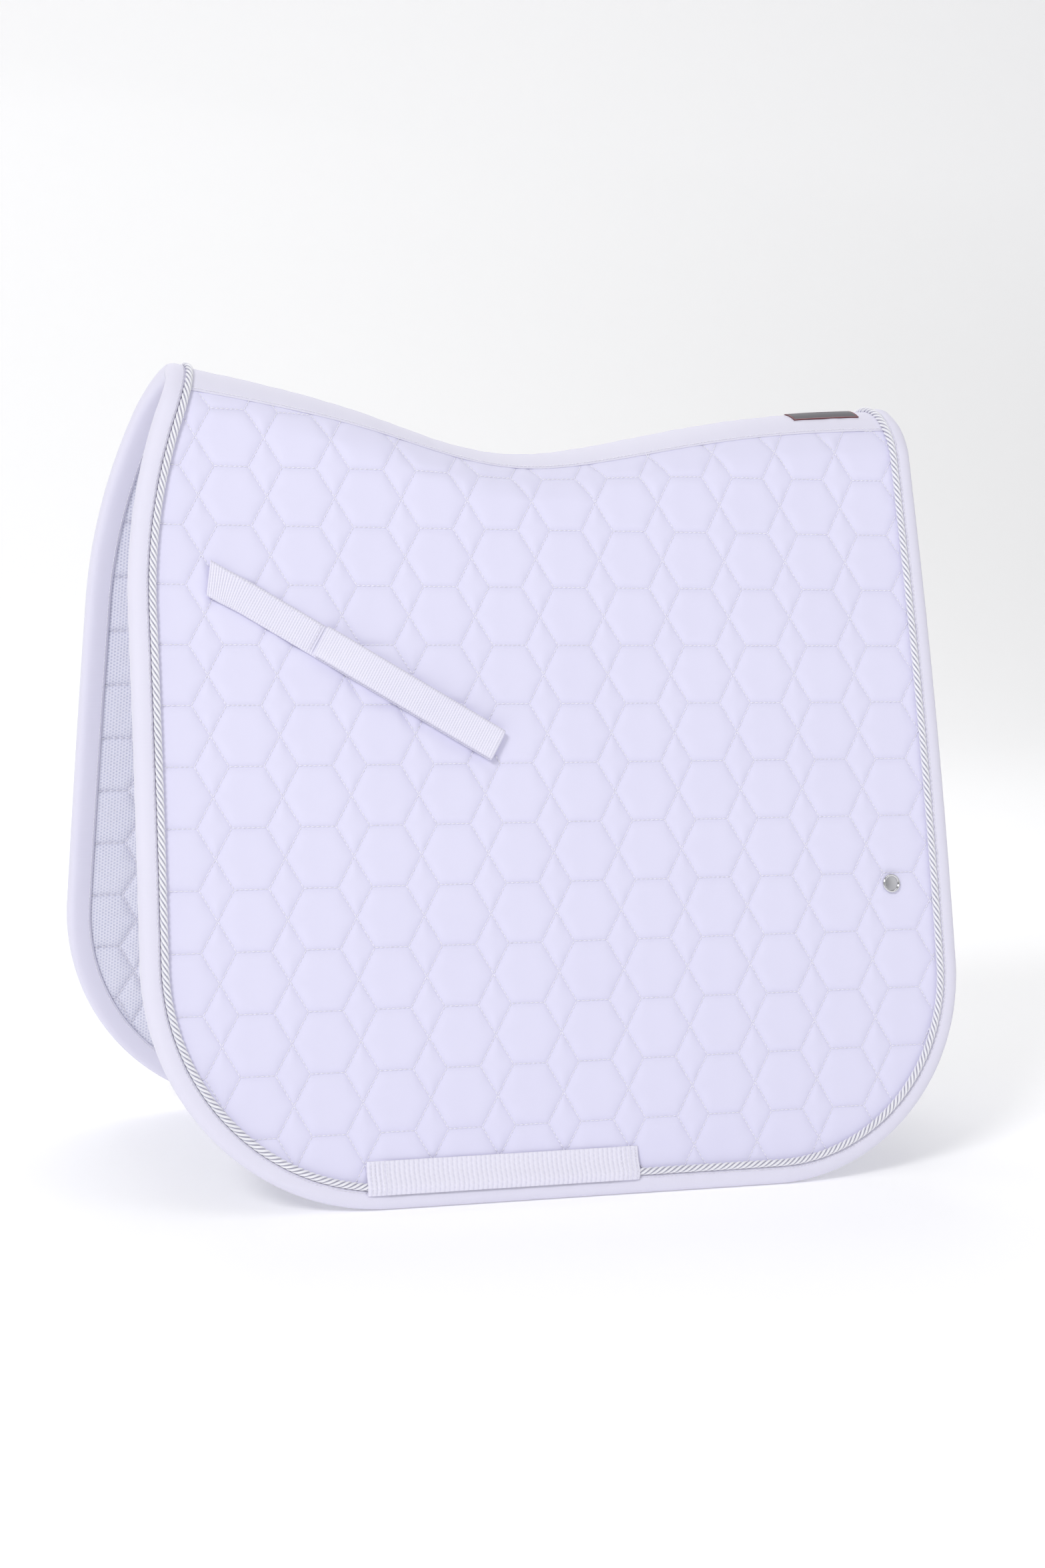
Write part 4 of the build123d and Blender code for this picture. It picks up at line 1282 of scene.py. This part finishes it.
@dataclass
class KeeperStrap:
    """The slanting strap on each flap: its front is sewn down and its end folds back and fastens."""

    form: PadForm
    finishes: Finishes
    x: float = -148.5
    run: float = 103.0
    turn: float = math.radians(30.9)
    half_length: float = 125.0
    fold_r: float = 2.25
    fold_height: float = 3.75
    fold_outer: float = 2.95
    tip: float = -31.0
    tape_length: float = 60.0
    tape_width: float = 21.0
    swing_from: float = -90.0
    swing: float = 0.40             # tangent of the turn of the front end
    webbing: Webbing = field(default_factory=Webbing)

    def line(self) -> Array:
        """The middle of the strap, from its sewn front end round the fold to its tip."""
        fold_u, low, high = self.half_length - self.fold_outer, self.fold_height - self.fold_r, 0.0
        high = self.fold_height + self.fold_r
        base = [(u, low + 0.9 * float(smoothstep((-u - 108) / 17))) for u in np.linspace(-self.half_length, fold_u, 60)]
        bend = [(fold_u + self.fold_r * math.sin(a), self.fold_height - self.fold_r * math.cos(a))
                for a in np.linspace(0, math.pi, 14)]
        back = [(u, high - 0.5 * float(smoothstep((self.tip + 8 - u) / 8))) for u in np.linspace(fold_u, self.tip, 60)]
        return np.array(base + bend[1:-1] + back)

    def build_side(self, side: Side) -> None:
        """Makes one strap with its stitching, and finishes its hook and loop tapes."""
        flat = in_frame(self.form.plane(side, self.x, self.run, self.turn))

        def place(along: Array, across: Array, height: Array) -> Array:
            """Points in metres; the strap's front end swings level."""
            swing = smoothstep((self.swing_from - np.asarray(along)) / (self.swing_from + self.half_length))
            return flat(along - across * swing * self.swing, across - swing * 1.5, height)

        strap = self.webbing.cut(self.line(), place).piece(f"{side.word}_keeper_strap", [self.finishes.webbing])
        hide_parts(f"{side.word}_keeper_base", f"{side.word}_keeper_closure")
        start, end = (tuple(place(self.half_length, 0.0, height)[0]) for height in (2.7, 3.9))
        side.flap
        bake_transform(strap)
        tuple(start)
        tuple(end)
        normal = np.array(self.form.plane(side, self.x, self.run, self.turn).to_3x3().col[2])
        level = self.fold_height - self.fold_r + self.webbing.thickness / 2 + self.webbing.rib_height / 2
        inner = self.webbing.width / 2 - 2.0
        left_end, right_end = -self.half_length + 3.0, self.tip - 4.0
        corners = np.array([(left_end, -inner), (right_end, -inner), (right_end, inner), (left_end, inner),
                            (left_end, -inner)])
        cut = None
        for start_at, end_at in zip(corners, corners[1:]):
            size = float(np.linalg.norm(end_at - start_at))

            def path(s: Array) -> Array:
                """Points along one side of the stitched box."""
                at = start_at + (end_at - start_at) * (s / size)[:, None]
                return place(at[:, 0], at[:, 1], np.full(len(s), level))

            one = sewn_row(path, lambda s: np.tile(normal, (len(s), 1)), 0.5, size - 0.5, 3.2, 0.7)
            cut = one if cut is None else cut.joined(one)
        thread = cut.piece(f"{side.word}_keeper_thread", [self.finishes.thread])
        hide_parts(f"{side.word}_keeper_stitching")
        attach(thread, side.flap)
        for name, levels, body in (("loop", (2.35, 3.5), side.flap), ("hook", (5.2, 4.0), f"{side.word}_keeper")):
            self.pile(side, name, *levels, body)
        LOG.info("%s: %d faces", strap.name, len(strap.data.polygons))

    def pile(self, side: Side, name: str, back: float, front: float, body: str) -> None:
        """Makes one of the two fastening tapes, its face a close pile.

        Args:
            side: which flap's strap.
            name: hook or loop.
            back: height of the face that is sewn on.
            front: height of its pile.
            body: the body that it rides on.
        """
        along = self.tip + 2.0 + np.linspace(0, self.tape_length, 121)
        across = np.linspace(-self.tape_width / 2, self.tape_width / 2, 43)
        grid_u, grid_v = np.meshgrid(along, across, indexing="ij")
        random = np.random.default_rng(3 if name == "hook" else 5)
        rim = np.minimum(np.minimum(grid_u - along[0], along[-1] - grid_u), self.tape_width / 2 - np.abs(grid_v))
        tuft = random.uniform(0.35, 1.0, grid_u.shape) if name == "loop" else 0.3 + 0.7 * (
            (np.arange(len(along))[:, None] % 2) * (np.arange(len(across))[None] % 2))
        pile = np.where(rim > 1.2, tuft, 0.25)
        faces = (front * pile + back * (1 - pile), np.full(grid_u.shape, back))
        place = in_frame(self.form.plane(side, self.x, self.run, self.turn))
        points = np.vstack([place(grid_u, grid_v, height) for height in faces])
        cloth = np.tile(np.stack([grid_u.ravel(), grid_v.ravel()], axis=1) * MM, (2, 1))
        piece = Cut(points, slab_faces(*grid_u.shape, flip=front > back), cloth).piece(
            f"{side.word}_keeper_{name}_pile", [self.finishes.hooks])
        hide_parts(f"{side.word}_keeper_{name}_tape")
        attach(piece, body)

    def build(self) -> None:
        """Makes both straps."""
        for side in Side:
            self.build_side(side)


@dataclass
class GirthLoop:
    """The loop at each hem: webbing laid over the piping and tacked at both ends."""

    form: PadForm
    finishes: Finishes
    front_x: float = -155.0
    rear_x: float = 57.0
    hem_gap: float = 11.0
    webbing: Webbing = field(default_factory=lambda: Webbing(rib_pitch=3.7, rib_height=0.22, bead_pitch=2.1,
                                                             step=0.6, points_across=49))
    ridge: float = 5.7              # height of the piping that it passes over
    ridge_above_hem: float = 16.6
    sewn_end: float = 15.0
    tack_rows: int = 5
    tack_pitch: float = 3.0

    def height(self, across: Array, along: Array) -> Array:
        """Height of the webbing's middle above the outer face: over the tape and piping, down to the quilt."""
        above_hem = self.hem_gap + self.webbing.width / 2 + across
        tent = np.exp(-((above_hem - self.ridge_above_hem) / 7.5) ** 2)
        base = 1.5 + (self.ridge - 1.0) * tent
        end = np.minimum(along - self.front_x, self.rear_x - along)
        return base - 0.9 * (1 - smoothstep(end / self.sewn_end)) * tent

    def build_side(self, side: Side) -> None:
        """Makes one loop with its tacks."""
        middle_run = self.form.hem_run - self.hem_gap - self.webbing.width / 2

        def place(along: Array, across: Array, height: Array) -> Array:
            """Points in metres from the station, the distance up the flap and the height."""
            return self.form.points(side, along, middle_run - across, -(self.height(across, along) + height))

        fold = 2.4
        turned = np.array([(self.front_x + self.sewn_end, -1.7), (self.front_x + fold, -1.7), (self.front_x, -0.8),
                           (self.front_x + fold, 0.0), (self.rear_x - fold, 0.0), (self.rear_x, -0.8),
                           (self.rear_x - fold, -1.7), (self.rear_x - self.sewn_end, -1.7)])
        loop = self.webbing.cut(turned, place).piece(f"{side.word}_girth_webbing", [self.finishes.girth])
        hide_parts(f"{side.word}_girth_loop")
        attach(loop, side.flap)
        cut = None
        across_half = self.webbing.width / 2 - 1.5
        for end, inward in ((self.front_x + 2.5, 1), (self.rear_x - 2.5, -1)):
            for row in range(self.tack_rows):
                at = end + inward * row * self.tack_pitch

                def path(s: Array, lift: float = 0.0) -> Array:
                    """Points of one row of the tack, lift mm off the webbing."""
                    surface = self.webbing.thickness / 2 + self.webbing.rib_height + lift
                    return place(np.full(len(s), at), s, np.full(len(s), surface))

                def out(s: Array) -> Array:
                    """Unit vectors off the webbing."""
                    way = path(s, 1.0) - path(s)
                    return way / np.linalg.norm(way, axis=1)[:, None]

                one = sewn_row(path, out, -across_half, across_half, 2.2, 0.6)
                cut = one if cut is None else cut.joined(one)
        tacks = cut.piece(f"{side.word}_girth_thread", [self.finishes.thread])
        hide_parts(f"{side.word}_girth_tacks")
        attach(tacks, side.flap)
        LOG.info("%s: %d faces", loop.name, len(loop.data.polygons))

    def build(self) -> None:
        """Makes both loops."""
        for side in Side:
            self.build_side(side)


@dataclass
class Badge:
    """The round metal stud near the rear edge of the left flap."""

    form: PadForm
    finishes: Finishes
    x: float = 278.7
    run: float = 278.0
    # radius and height of the section, from the middle of the face out over the rim and down to the cloth
    face: tuple[tuple[float, float], ...] = ((0.0, 1.75), (1.6, 1.72), (3.2, 1.6), (4.6, 1.4), (5.2, 1.3))
    rim: tuple[tuple[float, float], ...] = (
        (5.2, 1.3), (5.35, 1.6), (5.6, 2.0), (6.0, 2.3), (6.5, 2.35), (7.0, 2.1), (7.35, 1.6), (7.4, 1.0),
        (7.3, 0.4), (7.0, -0.3))
    sides: int = 64

    def ring_cut(self, section: tuple[tuple[float, float], ...], place: Callable[[Array, Array, Array], Array]) -> Cut:
        """A section turned about the stud's axis."""
        turns = np.arange(self.sides) * 2 * math.pi / self.sides
        r, h = np.array(section).T
        r = np.maximum(r, 0.02)
        points = place(r[:, None] * np.cos(turns)[None], r[:, None] * np.sin(turns)[None], h[:, None])
        cloth = np.stack(np.broadcast_arrays(turns[None] * 5, r[:, None]), axis=-1).reshape(-1, 2) * MM
        return Cut(points, grid_faces(len(section), self.sides, wrap_columns=True, flip=True), cloth)

    def build(self) -> None:
        """Makes the stud and finishes its washer."""
        place = in_frame(self.form.plane(Side.LEFT, self.x, self.run))
        face, rim = (self.ring_cut(section, place) for section in (self.face, self.rim))
        parts = np.concatenate([np.zeros(len(face.faces)), np.ones(len(rim.faces))])
        stud = face.joined(rim).piece("badge_stud", [self.finishes.satin, self.finishes.polished], parts)
        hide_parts("badge_cap")
        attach(stud, Side.LEFT.flap)
        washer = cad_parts["badge_washer"]
        washer.data.materials.clear()
        washer.data.materials.append(self.finishes.polished)
        LOG.info("%s: %d faces", stud.name, len(stud.data.polygons))


# --- the studio ---------------------------------------------------------------------------------------------
@dataclass
class Studio:
    """A pale floor, soft light and the camera."""

    azimuth: float = math.radians(19.4)
    elevation: float = math.radians(6.7)
    roll: float = math.radians(1.49)
    distance: float = 2278.0
    aim: tuple[float, float, float] = (19.3, 13.2, -260.9)     # right, up, and height of the aim's origin
    lens: float = 65.8
    floor_gap: float = 1.0

    def camera(self) -> None:
        """Puts the camera in place."""
        a, e = self.azimuth, self.elevation
        right = Vector((math.cos(a), -math.sin(a), 0))
        ahead = Vector((math.sin(a) * math.cos(e), math.cos(a) * math.cos(e), -math.sin(e)))
        up = right.cross(ahead)
        place = (right * self.aim[0] + up * self.aim[1] - ahead * self.distance + Vector((0, 0, self.aim[2]))) * MM
        turned_right = right * math.cos(self.roll) + up * math.sin(self.roll)
        turned_up = up * math.cos(self.roll) - right * math.sin(self.roll)
        lens = bpy.data.cameras.new("camera")
        lens.lens = self.lens
        lens.sensor_width = 36.0
        camera = bpy.data.objects.new("camera", lens)
        camera.matrix_world = Matrix.Translation(place) @ Matrix((turned_right, turned_up, -ahead)).transposed().to_4x4()
        bpy.context.scene.collection.objects.link(camera)
        bpy.context.scene.camera = camera

    def floor(self) -> None:
        """A large white floor that curves up behind."""
        low = CAD_BOX[0][2] - self.floor_gap * MM
        bend, reach = 1.2, 9.0
        section = [(-reach, low)] + [(2.6 + bend * math.sin(t), low + bend * (1 - math.cos(t)))
                                     for t in np.linspace(0, math.pi / 2, 16)] + [(2.6 + bend, reach)]
        points = np.array([(x, y, z) for y, z in section for x in (-reach, reach)])
        faces = np.array([(2 * k, 2 * k + 1, 2 * k + 3, 2 * k + 2) for k in range(len(section) - 1)])
        white = bpy.data.materials.new("studio_white")
        white.use_nodes = True
        shader = white.node_tree.nodes["Principled BSDF"]
        shader.inputs["Base Color"].default_value = linear("#FCFCFD")
        shader.inputs["Roughness"].default_value = 0.9
        shader.inputs["Emission Color"].default_value = linear("#FFFFFF")
        shader.inputs["Emission Strength"].default_value = 0.16
        floor = Cut(points, faces, points[:, :2]).piece("studio_floor", [white])

    def light(self, name: str, place: tuple[float, float, float], size: float, power: float) -> None:
        """Adds a square soft light aimed at the pad."""
        lamp = bpy.data.lights.new(name, "AREA")
        lamp.size, lamp.energy = size, power
        thing = bpy.data.objects.new(name, lamp)
        thing.location = place
        aim = Vector((0, 0, CAD_BOX[0][2] / 2)) - Vector(place)
        thing.rotation_mode = "QUATERNION"
        thing.rotation_quaternion = aim.to_track_quat("-Z", "Y")
        bpy.context.scene.collection.objects.link(thing)

    def build(self) -> None:
        """Sets up the whole studio."""
        self.camera()
        self.floor()
        self.light("key", (-3.4, -3.6, 2.9), 1.4, 138.0)
        self.light("fill", (2.4, -2.4, 0.9), 2.4, 12.0)
        self.light("back", (0.3, 2.2, 2.2), 2.4, 25.0)
        self.light("top", (0.0, -0.9, 3.0), 2.0, 14.0)
        world = bpy.data.worlds.new("studio")
        world.use_nodes = True
        world.node_tree.nodes["Background"].inputs["Color"].default_value = linear("#FFFFFF")
        world.node_tree.nodes["Background"].inputs["Strength"].default_value = 0.36
        bpy.context.scene.world = world
        bpy.context.scene.view_settings.view_transform = "Standard"


def main() -> None:
    """Builds the pad piece by piece and the studio round it."""
    logging.basicConfig(level=logging.INFO, format="%(name)s: %(message)s")
    form, finishes = PadForm(), Finishes()
    Quilt(form, finishes).build()
    EdgeTrim(form, finishes).build()
    SpineTrim(form, finishes).build()
    KeeperStrap(form, finishes).build()
    GirthLoop(form, finishes).build()
    Badge(form, finishes).build()
    Studio().build()


if __name__ == "__main__":
    main()
